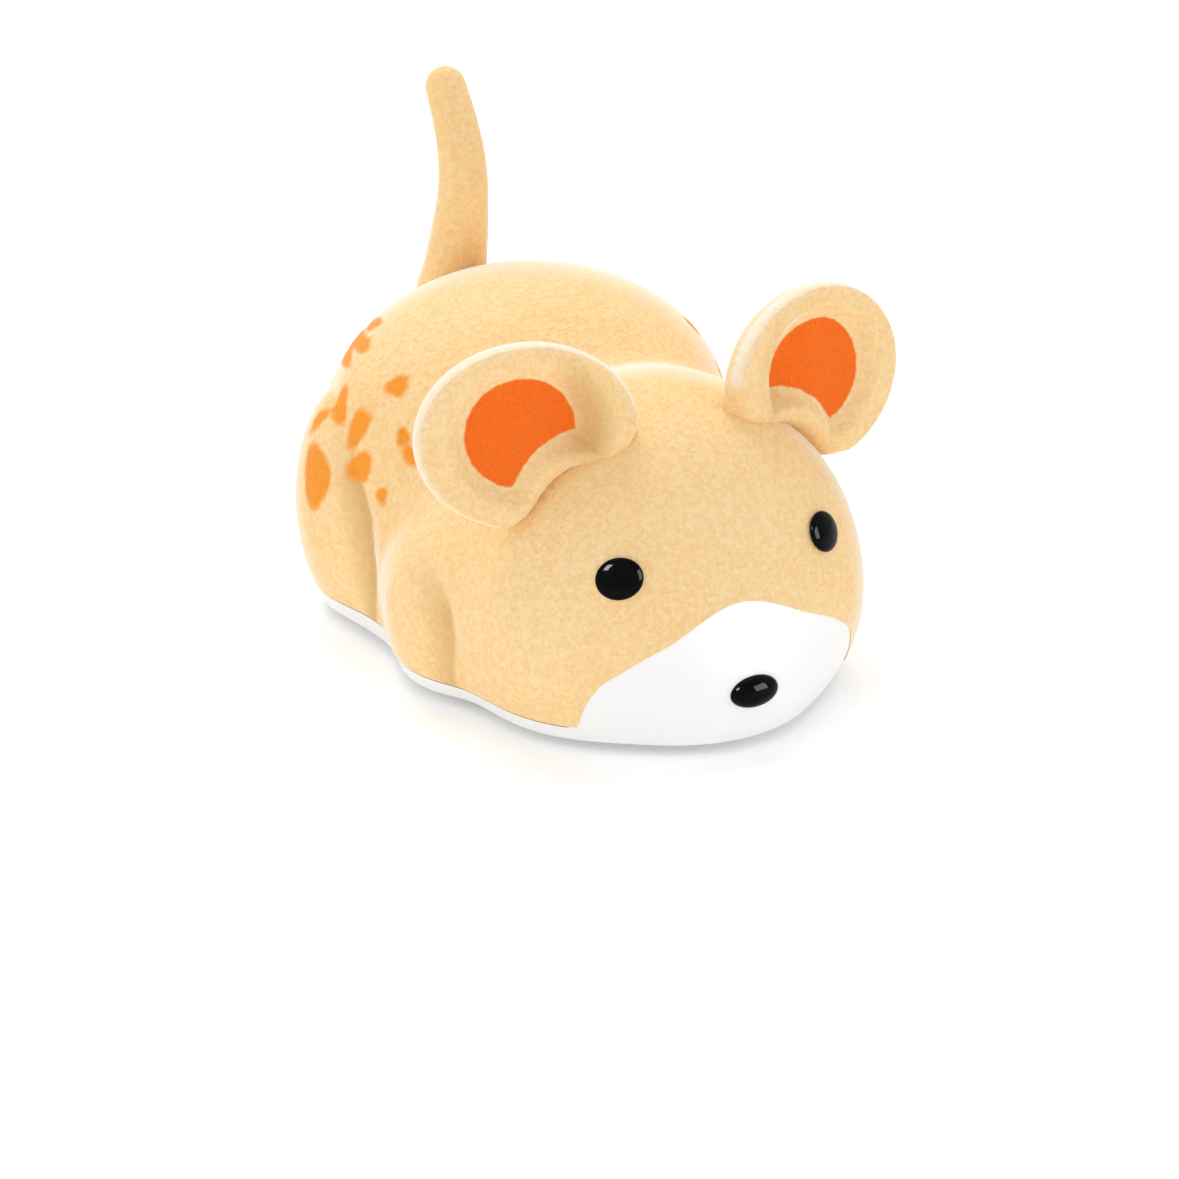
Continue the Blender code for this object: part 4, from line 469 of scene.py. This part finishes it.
def muzzle_block(name, grow):
    """The muzzle patch of the front view as a block that runs back into the head."""
    side = [(u * (MUZZLE_HALF_WIDTH + grow), v * (MUZZLE_TOP + grow)) for u, v in MUZZLE_SHARES]
    line = smooth_line(side + [(-x, z) for x, z in reversed(side[:-1])], MUZZLE_PIECES)
    deselect()
    bpy.ops.mesh.primitive_circle_add(vertices=len(line), radius=1.0, fill_type="NGON")
    piece = named(name)
    set_points(piece, [(x, MUZZLE_FRONT_Y, z) for x, z in line])
    edit_all(piece)
    bpy.ops.mesh.extrude_region_move(
        TRANSFORM_OT_translate={"value": (0.0, MUZZLE_BACK_Y + 2 * grow - MUZZLE_FRONT_Y, 0.0)})
    bpy.ops.object.mode_set(mode="OBJECT")
    outwards(piece)
    return piece


# Shells

def spot_edges(points):
    """Distance outside the nearest spot in millimetres, the same on both flanks."""
    mirrored = points * 1.0
    mirrored[:, 0] = -np.abs(mirrored[:, 0])
    nearest = np.full(len(points), FAR_FROM_SPOTS)
    for phase, (at, (long_half, short_half), tilt) in enumerate(SPOTS):
        normal = np.array(form_normal(at))
        level = np.cross((0.0, 0.0, 1.0), normal)
        level /= np.linalg.norm(level)
        rising = np.cross(normal, level)
        turn = math.radians(tilt)
        away = mirrored - at
        dx, dy = away @ level, away @ rising
        along = (dx * math.cos(turn) + dy * math.sin(turn)) / long_half
        aside = (-dx * math.sin(turn) + dy * math.cos(turn)) / short_half
        lump = 1.0 + SPOT_WAVE * np.sin(SPOT_LOBES * np.arctan2(aside, along) + SPOT_PHASE * phase)
        edge = (np.hypot(along, aside) / lump - 1.0) * short_half * MILLIMETRES
        nearby = np.abs(away @ normal) < SPOT_REACH
        nearest = np.where(nearby, np.minimum(nearest, edge), nearest)
    return nearest


def line_distance(points, line):
    """Distance of flat points from a line, positive on its left as it runs."""
    nearest = np.full(len(points), 1.0)
    for start, end in zip(line, line[1:]):
        run = np.array(end) - start
        away = points - start
        along = np.clip(away @ run / (run @ run), 0.0, 1.0)
        distance = np.linalg.norm(away - along[:, None] * run, axis=1)
        left = np.where(run[0] * away[:, 1] - run[1] * away[:, 0] >= 0.0, 1.0, -1.0)
        nearest = np.where(distance < np.abs(nearest), distance * left, nearest)
    return nearest


def press_creases(shell):
    """Press the creases into both flanks, and keep the painted shade in them."""
    points, normals = points_of(shell), points_of(shell, "normal")
    flat = points[:, 1:]
    depth = np.zeros(len(points))
    shade = np.zeros(len(points))
    flank = smooth_step(np.abs(points[:, 0]), *FLANK_X)
    for line, top, deepest, rear, front, dark in CREASES:
        side = line_distance(flat, np.array(line))
        share = np.clip(1.0 - np.abs(side) / np.where(side > 0.0, rear, front), 0.0, 1.0)
        fade = smooth_step(top - flat[:, 1], 0.0, CREASE_FADE) * flank
        depth = np.maximum(depth, deepest * share ** CREASE_POWER * fade)
        # Painted shade, wide on the rear or lower side of each crease and narrow on its other side
        reach = np.where(side > 0.0, rear, CREASE_SHADE_REACH)
        near = np.clip(1.0 - np.abs(side) / reach, 0.0, 1.0)
        shade = np.maximum(shade, dark * near ** CREASE_SHADE_POWER * fade)
    depth *= smooth_step(flat[:, 1], FLOCK_BOTTOM, CREASE_FULL_Z)
    set_points(shell, points - normals * depth[:, None])
    return shade


def make_flock_shell():
    """The flocked upper shell, with the muzzle and the charging socket's opening cut out."""
    shell = form_block("flocked_upper_shell", 0.0, SHELL_CUTS, FLOCK_BOTTOM)
    keep_values(shell, "shade", press_creases(shell))
    trim(shell, form_block("shell_room", -WALL, ROOM_CUTS, BASE_Z - ROOM_BELOW))
    trim(shell, muzzle_block("muzzle_room", MUZZLE_GAP))
    deselect()
    low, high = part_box("charging_socket")
    bpy.ops.mesh.primitive_cube_add(size=1.0)
    opening = named("socket_room")
    opening.scale = SOCKET_ROOM
    opening.location = (0.0, high[1] + SOCKET_ROOM_BEHIND, (low[2] + high[2]) / 2)
    settle(opening)
    apply_modifier(opening, "BEVEL", width=SOCKET_ROUNDING, segments=SOCKET_BEVEL_STEPS,
                   limit_method="NONE", affect="EDGES")
    trim(shell, opening)
    drop_folds(shell)
    round_off(shell)
    keep_values(shell, "spot_edge", spot_edges(points_of(shell)))
    return shell


def make_white_skin():
    """The smooth skin of the lower shell's strip and muzzle, just proud of the solid."""
    skin = form_block("white_muzzle_and_strip", -FLOCK_STEP + SKIN_LIFT, SKIN_CUTS,
                      BASE_Z - SKIN_BELOW)
    deselect()
    bpy.ops.mesh.primitive_cube_add(size=1.0)
    region = named("strip_region")
    region.scale = (STRIP_SIDE, STRIP_SIDE, PARTING_Z + STRIP_BELOW)
    region.location = (0.0, 0.0, (PARTING_Z - STRIP_BELOW) / 2)
    settle(region)
    trim(region, muzzle_block("muzzle_region", MUZZLE_LAP), "UNION")
    trim(skin, region, "INTERSECT")
    trim(skin, form_block("skin_room", -SKIN_WALL, ROOM_CUTS, BASE_Z - ROOM_BELOW))
    drop_folds(skin)
    round_off(skin, 30.0)
    return skin


# Ears

def ear_placement(side):
    """Where the ear's dish faces."""
    turn, tilt, lean = (math.radians(t) for t in EAR_TURNS)
    return (Matrix.Translation((side * EAR_AT[0], EAR_AT[1], EAR_AT[2]))
            @ Matrix.Rotation(side * turn, 4, "Z") @ Matrix.Rotation(tilt, 4, "X")
            @ Matrix.Rotation(side * lean, 4, "Y") @ Matrix.Rotation(math.radians(90.0), 4, "X"))


def patch_edge(u, v):
    """Distance outside the coloured patch of the dish."""
    oval = np.hypot((u - PATCH_MIDDLE[0]) / PATCH_RADII[0],
                    (v - PATCH_MIDDLE[1]) / PATCH_RADII[1])
    return np.maximum((oval - 1.0) * min(PATCH_RADII),
                      BITE_RADIUS - np.hypot(u - BITE_MIDDLE[0], v - BITE_MIDDLE[1]))


def ear_foot(u, v):
    """Distance from the ear's foot line, negative past it, and the foot's depth there."""
    nearest = np.full(u.shape, 1.0)
    depth = np.zeros(u.shape)
    for (au, av, aw), (bu, bv, bw) in zip(EAR_FOOT, EAR_FOOT[1:]):
        du, dv = bu - au, bv - av
        t = np.clip(((u - au) * du + (v - av) * dv) / (du * du + dv * dv), 0.0, 1.0)
        distance = np.hypot(u - au - t * du, v - av - t * dv)
        closer = distance < np.abs(nearest)
        way = np.where(du * (v - av) - dv * (u - au) >= 0.0, 1.0, -1.0)
        nearest = np.where(closer, distance * way, nearest)
        depth = np.where(closer, aw + t * (bw - aw), depth)
    return nearest, depth


def make_ear(side):
    """A ball pressed into a dished ear with a thick round rim and a mound at its root."""
    name = ("right", "left")[side > 0] + "_flocked_ear"
    deselect()
    bpy.ops.mesh.primitive_uv_sphere_add(segments=EAR_SEGMENTS, ring_count=EAR_RINGS, radius=1.0)
    ear = named(name)
    ball = points_of(ear)
    turn = np.arctan2(ball[:, 1], ball[:, 0])
    fall = np.arccos(np.clip(ball[:, 2], -1.0, 1.0)) / (math.pi / 2)
    front = fall <= 1.0
    share = np.where(front, fall, 2.0 - fall)
    inner = 1.0 - EAR_RIM / EAR_HALF_WIDTH
    bend = np.clip((share - EAR_FACE_SHARE) / (1.0 - EAR_FACE_SHARE), 0.0, 1.0) * math.pi / 2
    reach = np.where(share < EAR_FACE_SHARE, inner * share / EAR_FACE_SHARE,
                     inner + (1.0 - inner) * np.sin(bend))
    u, v = EAR_HALF_WIDTH * reach * np.cos(turn), EAR_HALF_HEIGHT * reach * np.sin(turn)
    edge = patch_edge(u, v)
    floor = DISH_FLOOR + DISH_TILT * np.minimum(u, 0.0)
    dish = floor + (EAR_RIM - floor) * smooth_step(edge, PATCH_INSIDE, DISH_SLOPE)
    past, depth = ear_foot(u, v)
    rim_gap = EAR_HALF_WIDTH * (1.0 - reach)
    corner = EAR_FOOT_ROLL - np.hypot(np.maximum(EAR_FOOT_ROLL - past, 0.0),
                                      np.maximum(EAR_FOOT_ROLL - rim_gap, 0.0))
    beside_foot = 1.0 - smooth_step(past, EAR_FOOT_ROLL, 2.0 * EAR_FOOT_ROLL)
    past = past + (np.minimum(past, corner) - past) * beside_foot
    roll = 1.0 - np.clip(past / EAR_FOOT_ROLL, 0.0, 1.0)
    ridge = (depth + (EAR_FOOT_RIDGE - depth) * np.sqrt(1.0 - roll ** 2)
             + EAR_FOOT_SLOPE * np.minimum(past, 0.0))
    face = np.minimum(np.minimum(dish, EAR_RIM * np.cos(bend)), ridge)
    root = smooth_step(-np.hypot((u - ROOT_MIDDLE[0]) / ROOT_HALF[0],
                                 (v - ROOT_MIDDLE[1]) / ROOT_HALF[1]), -1.0, 0.0)
    back = (-EAR_RIM * np.cos(bend) * (1.0 + EAR_BACK_BULGE * (1.0 - share))
            - ROOT_MOUND * root * np.cos(bend))
    lowered = (bend < EAR_LAST_BEND) | (past < 0.0)
    back = np.minimum(back, np.where(lowered, ridge - EAR_BACK_GAP, back))
    w = np.where(front, face, back)
    set_points(ear, np.stack([side * u, v, w], 1))
    keep_values(ear, "patch_edge", np.where(front, edge, FAR_FROM_PATCH) * MILLIMETRES)
    # Painted shade on the dish's inner wall next to the head, stronger on the right ear
    inner_wall = (smooth_step(-u, *INNER_WALL_U)
                  * smooth_step(-np.abs(edge - INNER_WALL_EDGE), *INNER_WALL_BAND))
    dark = np.where(front & (past > 0.0), inner_wall * INNER_WALL_SHADES[side], 0.0)
    keep_values(ear, "shade", dark)
    # Painted rim light on the roll, fading out lower down and towards the foot
    pale = (smooth_step(bend, *PALE_BEND) * np.where(front, 1.0, PALE_BEHIND)
            * smooth_step(past, *PALE_PAST))
    keep_values(ear, "pale", pale * smooth_step(v, *PALE_V))
    place(ear, ear_placement(side))
    outwards(ear)
    trim(ear, form_block(name + "_root", -ROOT_SINK, ROOT_CUTS, BASE_Z))
    round_off(ear, 60.0)
    return ear


# Eyes and nose

def make_bead(name, at, normal, half_width, half_height, dome):
    """A glossy half bead whose rim sits in the surface."""
    deselect()
    bpy.ops.mesh.primitive_uv_sphere_add(segments=BEAD_SEGMENTS, ring_count=BEAD_RINGS, radius=1.0)
    bead = named(name)
    ball = points_of(bead)
    ball *= (half_width, half_height, 1.0)
    ball[:, 2] *= np.where(ball[:, 2] > 0.0, dome, BEAD_BACK)
    set_points(bead, ball)
    z_dir = Vector(normal).normalized()
    x_dir = (Vector((1.0, 0.0, 0.0)) - z_dir * z_dir.x).normalized()
    turn = Matrix((x_dir, z_dir.cross(x_dir), z_dir)).transposed().to_4x4()
    place(bead, Matrix.Translation(Vector(at)) @ turn)
    outwards(bead)
    round_off(bead, 80.0)
    return bead


# Tail

def make_tail():
    """A ball drawn out along the tail's line, tapering to its round tip."""
    root_y, root_z = TAIL_ROOT
    rise = TAIL_HEIGHT - root_z
    swung = [(root_y + TAIL_LEAN * lean, root_z + rise * up) for up, lean in TAIL_SWINGS]
    fine = smooth_line([TAIL_BURIED] + swung + [(root_y + TAIL_HOOK, TAIL_HEIGHT)], TAIL_PIECES)
    steps = np.r_[0.0, np.cumsum(np.linalg.norm(np.diff(fine, axis=0), axis=1))]
    length, tip = steps[-1], TAIL_RADII[-1]
    deselect()
    bpy.ops.mesh.primitive_uv_sphere_add(segments=TAIL_SEGMENTS, ring_count=TAIL_RINGS, radius=1.0)
    tail = named("flocked_tail")
    ball = points_of(tail)
    turn = np.arctan2(ball[:, 1], ball[:, 0])
    climb = 1.0 - np.arccos(np.clip(ball[:, 2], -1.0, 1.0)) / math.pi
    body = np.clip(climb / TAIL_CAP_SHARE, 0.0, 1.0) * (length - tip)
    bend = np.clip((climb - TAIL_CAP_SHARE) / (1.0 - TAIL_CAP_SHARE), 0.0, 1.0) * math.pi / 2
    along = body + tip * np.sin(bend)
    radius = np.interp(along / length, TAIL_RADIUS_SHARES, TAIL_RADII) * np.cos(bend)
    radius = np.where(climb <= 0.0, 0.0, radius)
    y, z = (np.interp(along, steps, fine[:, i]) for i in (0, 1))
    slope = np.arctan2(*(np.interp(along, steps, np.gradient(fine[:, i], steps)) for i in (0, 1)))
    points = np.stack([radius * np.cos(turn), y + radius * np.sin(turn) * np.cos(slope),
                       z - radius * np.sin(turn) * np.sin(slope)], 1)
    set_points(tail, points)
    outwards(tail)
    trim(tail, form_block("tail_root", -ROOT_SINK, ROOT_CUTS, BASE_Z))
    drop_folds(tail)
    round_off(tail, 60.0)
    return tail


# Finishes

class Value:
    """A number or colour in a material's tree that sums and products can be written with."""

    def __init__(self, finish, socket):
        self.finish = finish
        self.socket = socket

    def _math(self, operation, other):
        node = self.finish.node("ShaderNodeMath", {"operation": operation}, [self, other])
        return Value(self.finish, node.outputs[0])

    def __add__(self, other):
        return self._math("ADD", other)

    def __sub__(self, other):
        return self._math("SUBTRACT", other)

    def __mul__(self, other):
        return self._math("MULTIPLY", other)


class Finish:
    """A material in the making."""

    def __init__(self, name):
        self.material = bpy.data.materials.new(name)
        self.material.use_nodes = True
        self.tree = self.material.node_tree
        self.tree.nodes.clear()
        self.shader = self.node("ShaderNodeBsdfPrincipled")
        output = self.node("ShaderNodeOutputMaterial")
        self.tree.links.new(self.shader.outputs[0], output.inputs[0])
        self.object_place = self.node("ShaderNodeTexCoord").outputs["Object"]

    def feed(self, socket, value):
        """Link a value to a socket, or set a constant there."""
        value = getattr(value, "socket", value)
        if isinstance(value, bpy.types.NodeSocket):
            self.tree.links.new(value, socket)
        else:
            socket.default_value = value

    def node(self, kind, settings=None, values=None):
        """Add a node, set it up, and fill or link its sockets."""
        node = self.tree.nodes.new(kind)
        for key, value in (settings or {}).items():
            setattr(node, key, value)
        pairs = values.items() if isinstance(values, dict) else enumerate(values or ())
        for key, value in pairs:
            self.feed(node.inputs[key], value)
        return node

    def noise(self, scale, detail=2.0, roughness=0.5, stretch=(1.0, 1.0, 1.0)):
        """Cloudy noise, with a scale in lumps per metre."""
        mapping = self.node("ShaderNodeMapping", None,
                            {"Vector": self.object_place, "Scale": stretch})
        node = self.node("ShaderNodeTexNoise", None, {"Vector": mapping.outputs[0], "Scale": scale,
                                                     "Detail": detail, "Roughness": roughness})
        return Value(self, node.outputs["Fac"])

    def cells(self, scale):
        """Distance to the nearest of scattered points."""
        node = self.node("ShaderNodeTexVoronoi", None,
                         {"Vector": self.object_place, "Scale": scale})
        return Value(self, node.outputs["Distance"])

    def stored(self, name):
        """A number stored on the mesh."""
        node = self.node("ShaderNodeAttribute", {"attribute_name": name})
        return Value(self, node.outputs["Fac"])

    def between(self, value, low, high, start=0.0, end=1.0):
        """A smooth change from start to end as a value goes from low to high."""
        node = self.node("ShaderNodeMapRange", {"interpolation_type": "SMOOTHSTEP"},
                         [value, low, high, start, end])
        return Value(self, node.outputs[0])

    def mix(self, factor, first, second):
        """One colour over another."""
        node = self.node("ShaderNodeMix", {"data_type": "RGBA"})
        for index, value in ((0, factor), (6, first), (7, second)):
            self.feed(node.inputs[index], value)
        return Value(self, node.outputs[2])

    def bump(self, height, distance, strength=1.0):
        """Relief of a given depth."""
        node = self.node("ShaderNodeBump", None, {"Height": height, "Distance": distance,
                                                 "Strength": strength})
        self.tree.links.new(node.outputs[0], self.shader.inputs["Normal"])

    def surface(self, **sockets):
        """Fill or link the shader's sockets."""
        for key, value in sockets.items():
            self.feed(self.shader.inputs[key.replace("_", " ")], value)
        return self.material


def flock(name, mark=None, mark_colour=SPOT, softness=0.30, ragged=1.0):
    """Short flocked pile with grain, painted shade, sheen and rim light; marked where a stored edge
    distance is negative.
    """
    made = Finish(name)
    fine = made.noise(4200.0, 3.0, 0.6)
    grain = made.noise(1900.0, 2.0, 0.55)
    tufts = made.noise(1100.0, 2.0, 0.5)
    drift = made.noise(90.0, 2.0, 0.5)
    colour = made.mix(made.between(fine * 0.4 + grain * 0.6, 0.38, 0.62), CREAM_DARK, CREAM_LIGHT)
    colour = made.mix(0.55, colour, made.mix(made.between(drift, 0.2, 0.8), CREAM, CREAM_LIGHT))
    # Painted shade from the stored shade: the shell's creases and the ears' inner walls
    colour = made.mix(made.stored("shade"), colour, CREAM_PAINTED_SHADE)
    # Painted sheen: paler cream towards a grazing view
    rim = Value(made, made.node("ShaderNodeLayerWeight", None, {"Blend": 0.5}).outputs["Facing"])
    colour = made.mix(made.between(rim, 0.55, 1.0, 0.0, RIM_SHARE), colour, PAINTED_SHEEN_CREAM)
    # Painted rim light on the ears' rolls, as stored
    colour = made.mix(made.stored("pale") * PAINTED_RIM_LIGHT_SHARE, colour, PAINTED_SHEEN_CREAM)
    if mark:
        edge = made.stored(mark) + ((grain - 0.5) * 0.8 + (tufts - 0.5) * 0.5) * ragged
        deeper = [c * SPOT_DEPTH for c in mark_colour[:3]] + [1.0]
        tint = made.mix(made.between(fine, 0.3, 0.7), mark_colour, deeper)
        colour = made.mix(made.between(edge, softness, -softness), colour, tint)
    made.bump(fine * 0.4 + grain * 0.7 + tufts * 0.5, PILE_RELIEF, 0.8)
    return made.surface(Base_Color=colour, Roughness=made.between(grain, 0.2, 0.8, 0.86, 1.0),
                        Sheen_Weight=0.30, Sheen_Roughness=0.30, Sheen_Tint=(1.0, 0.96, 0.90, 1.0),
                        Specular_IOR_Level=0.08)


def moulded(name, colour, roughness=0.4, relief=0.00002, scale=1800.0, drift=0.06):
    """Moulded plastic or rubber with faint flow marks and a fine skin."""
    made = Finish(name)
    skin = made.noise(scale, 3.0, 0.55)
    flow = made.noise(scale / 12.0, 2.0, 0.5, (1.0, 1.0, 2.5))
    darker = [c * (1.0 - drift) for c in colour] + [1.0]
    tone = made.mix(made.between(flow, 0.3, 0.7), darker, [*colour, 1.0])
    made.bump(skin, relief, 0.6)
    return made.surface(Base_Color=tone, Roughness=made.between(skin, 0.2, 0.8, roughness * 0.85,
                                                                min(1.0, roughness * 1.15)))


def metal(name, colour, roughness=0.3, stretch=(0.15, 1.0, 1.0)):
    """Drawn or turned metal with fine lines along one way."""
    made = Finish(name)
    lines = made.noise(4200.0, 3.0, 0.6, stretch)
    stain = made.noise(300.0, 2.0, 0.5)
    darker = [c * 0.86 for c in colour] + [1.0]
    tone = made.mix(made.between(stain, 0.3, 0.7), darker, [*colour, 1.0])
    made.bump(lines, 0.00001, 0.5)
    return made.surface(Base_Color=tone, Metallic=1.0,
                        Roughness=made.between(lines, 0.2, 0.8, roughness * 0.8, roughness * 1.25))


def bead_gloss(name):
    """Polished black plastic."""
    made = Finish(name)
    haze = made.noise(900.0, 2.0, 0.5)
    tone = made.mix(made.between(haze, 0.3, 0.7), (0.002, 0.002, 0.002, 1.0),
                    (0.004, 0.003, 0.004, 1.0))
    made.bump(haze, 0.000002, 0.2)
    return made.surface(Base_Color=tone, Roughness=made.between(haze, 0.2, 0.8, 0.05, 0.09),
                        Specular_IOR_Level=0.05)


def circuit_green(name):
    """Lacquered board with copper tracks showing through."""
    made = Finish(name)
    cells = made.cells(900.0)
    tracks = made.between(cells, 0.10, 0.16)
    weave = made.noise(3500.0, 2.0, 0.5, (1.0, 0.2, 1.0))
    tone = made.mix(tracks, (0.05, 0.30, 0.10, 1.0), (0.012, 0.13, 0.045, 1.0))
    tone = made.mix(made.between(weave, 0.3, 0.7, 0.0, 0.25), tone, (0.03, 0.22, 0.08, 1.0))
    made.bump(tracks, 0.00003, 0.4)
    return made.surface(Base_Color=tone, Roughness=made.between(weave, 0.2, 0.8, 0.25, 0.4))


def give(piece, material):
    """Give a piece its finish in place of any it had."""
    piece.data.materials.clear()
    piece.data.materials.append(material)


def finish_frame_nodes():
    """Finishes of the solids that show from below or stay inside."""
    steel = metal("bright_steel", (0.62, 0.62, 0.64), 0.25)
    zinc = metal("zinc_plated_screw", (0.58, 0.59, 0.62), 0.32, (1.0, 1.0, 0.2))
    nylon = moulded("white_nylon", (0.80, 0.80, 0.76), 0.45)
    rubber = moulded("black_rubber", (0.028, 0.028, 0.030), 0.75, 0.00004, 2600.0, 0.2)
    grey = moulded("grey_frame_plastic", (0.30, 0.31, 0.33), 0.5)
    epoxy = moulded("black_epoxy", (0.02, 0.02, 0.022), 0.45)
    white = moulded("white_shell_plastic", (0.90, 0.90, 0.885), 0.38, 0.000012, 1500.0, 0.03)
    finishes = {
        "lower_shell": white, "circuit_board": circuit_green("board_green"),
        "drive_frame": grey, "caster_fork": nylon, "caster_wheel": rubber, "switch_knob": epoxy,
        "control_chip": epoxy, "motor_driver_chip": epoxy,
        "battery": metal("battery_foil", (0.60, 0.62, 0.66), 0.45), "power_switch": steel,
        "charging_socket": steel, "motion_sensor": steel, "wheel_axle": steel, "caster_pin": steel,
        "caster_clip": steel}
    for side in ("left", "right"):
        finishes[side + "_wheel_hub"] = nylon
        finishes[side + "_idler_gear"] = nylon
        finishes[side + "_tyre"] = rubber
        finishes[side + "_motor_pinion"] = metal("turned_brass_" + side, (0.78, 0.57, 0.25), 0.28)
        for part in ("_axle_cap", "_idler_pin", "_motor", "_motor_shaft"):
            finishes[side + part] = steel
    insulation = {
        "red": moulded("red_insulation", (0.55, 0.02, 0.02), 0.42, 0.000008, 2600.0, 0.12),
        "black": moulded("black_insulation", (0.02, 0.02, 0.02), 0.42, 0.000008, 2600.0, 0.2)}
    for name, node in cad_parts.items():
        if "_lead_" in name:
            give(node, insulation[name.split("_")[-1]])
        elif "screw" in name:
            give(node, zinc)
        elif name in finishes:
            give(node, finishes[name])


# Stage

def make_stage():
    """The pale floor, the soft lights and the photograph's camera."""
    deselect()
    bpy.ops.mesh.primitive_plane_add(size=FLOOR_SIDE, location=(0.0, 0.0, FLOOR_Z))
    floor = named("floor")
    settle(floor)
    ground = Finish("pale_floor")
    paper = ground.noise(40.0, 2.0, 0.5)
    tone = ground.mix(ground.between(paper, 0.3, 0.7), (0.94, 0.94, 0.94, 1.0),
                      (0.96, 0.96, 0.96, 1.0))
    ground.surface(Base_Color=tone, Roughness=0.9, Emission_Color=(1.0, 1.0, 1.0, 1.0),
                   Emission_Strength=FLOOR_GLOW)
    give(floor, ground.material)
    world = bpy.data.worlds.new("studio")
    bpy.context.scene.world = world
    world.use_nodes = True
    sky = world.node_tree.nodes["Background"]
    sky.inputs["Color"].default_value = (1.0, 1.0, 1.0, 1.0)
    sky.inputs["Strength"].default_value = SKY_STRENGTH
    for name, at, size, power, aim, lights_pile in LIGHTS:
        deselect()
        bpy.ops.object.light_add(type="AREA", location=at)
        light = named(name)
        light.data.size = size
        light.data.energy = power
        light.visible_diffuse = lights_pile
        light.rotation_euler = (Vector(at) - Vector(aim)).to_track_quat("Z", "Y").to_euler()
    deselect()
    bpy.ops.object.camera_add(location=EYE_POINT)
    camera = named("photograph_camera")
    camera.rotation_euler = BACK.to_track_quat("Z", "Y").to_euler()
    camera.data.lens = LENS
    camera.data.sensor_width = SENSOR
    camera.data.clip_start = 0.01
    camera.data.clip_end = 20.0
    bpy.context.scene.camera = camera
    bpy.context.scene.view_settings.view_transform = "Standard"


def dress():
    """Make every visible piece and hang it on its body."""
    finish_frame_nodes()
    coat = flock("cream_flock_spotted", "spot_edge", SPOT, 0.30, 0.45)
    ear_coat = flock("cream_flock_ear", "patch_edge", PATCH, 0.10, 0.25)
    plain_coat = flock("cream_flock")
    white = moulded("smooth_white_plastic", (0.900, 0.900, 0.893), 0.58, 0.0000015, 900.0, 0.01)
    gloss = bead_gloss("polished_black")
    shell = make_flock_shell()
    give(shell, coat)
    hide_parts("upper_shell")
    skin = make_white_skin()
    give(skin, white)
    pieces = [shell, skin]
    for side in (-1, 1):
        name = ("right", "left")[side > 0]
        ear = make_ear(side)
        give(ear, ear_coat)
        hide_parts(name + "_ear")
        at = form_front(side * EYE_X, EYE_Z)
        facing = Vector(form_normal(at)) + Vector((side * EYE_TURN, 0.0, 0.0))
        eye = make_bead(name + "_bead_eye", at, facing, EYE_HALF_WIDTH, EYE_HALF_HEIGHT, EYE_DOME)
        give(eye, gloss)
        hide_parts(name + "_eye")
        pieces += [ear, eye]
    at = form_front(0.0, NOSE_Z, -FLOCK_STEP)
    nose = make_bead("bead_nose", at, form_normal(at), NOSE_HALF_WIDTH, NOSE_HALF_HEIGHT, NOSE_DOME)
    give(nose, gloss)
    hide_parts("nose")
    tail = make_tail()
    give(tail, plain_coat)
    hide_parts("tail")
    for piece in pieces + [nose, tail]:
        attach(piece, "body")


dress()
make_stage()
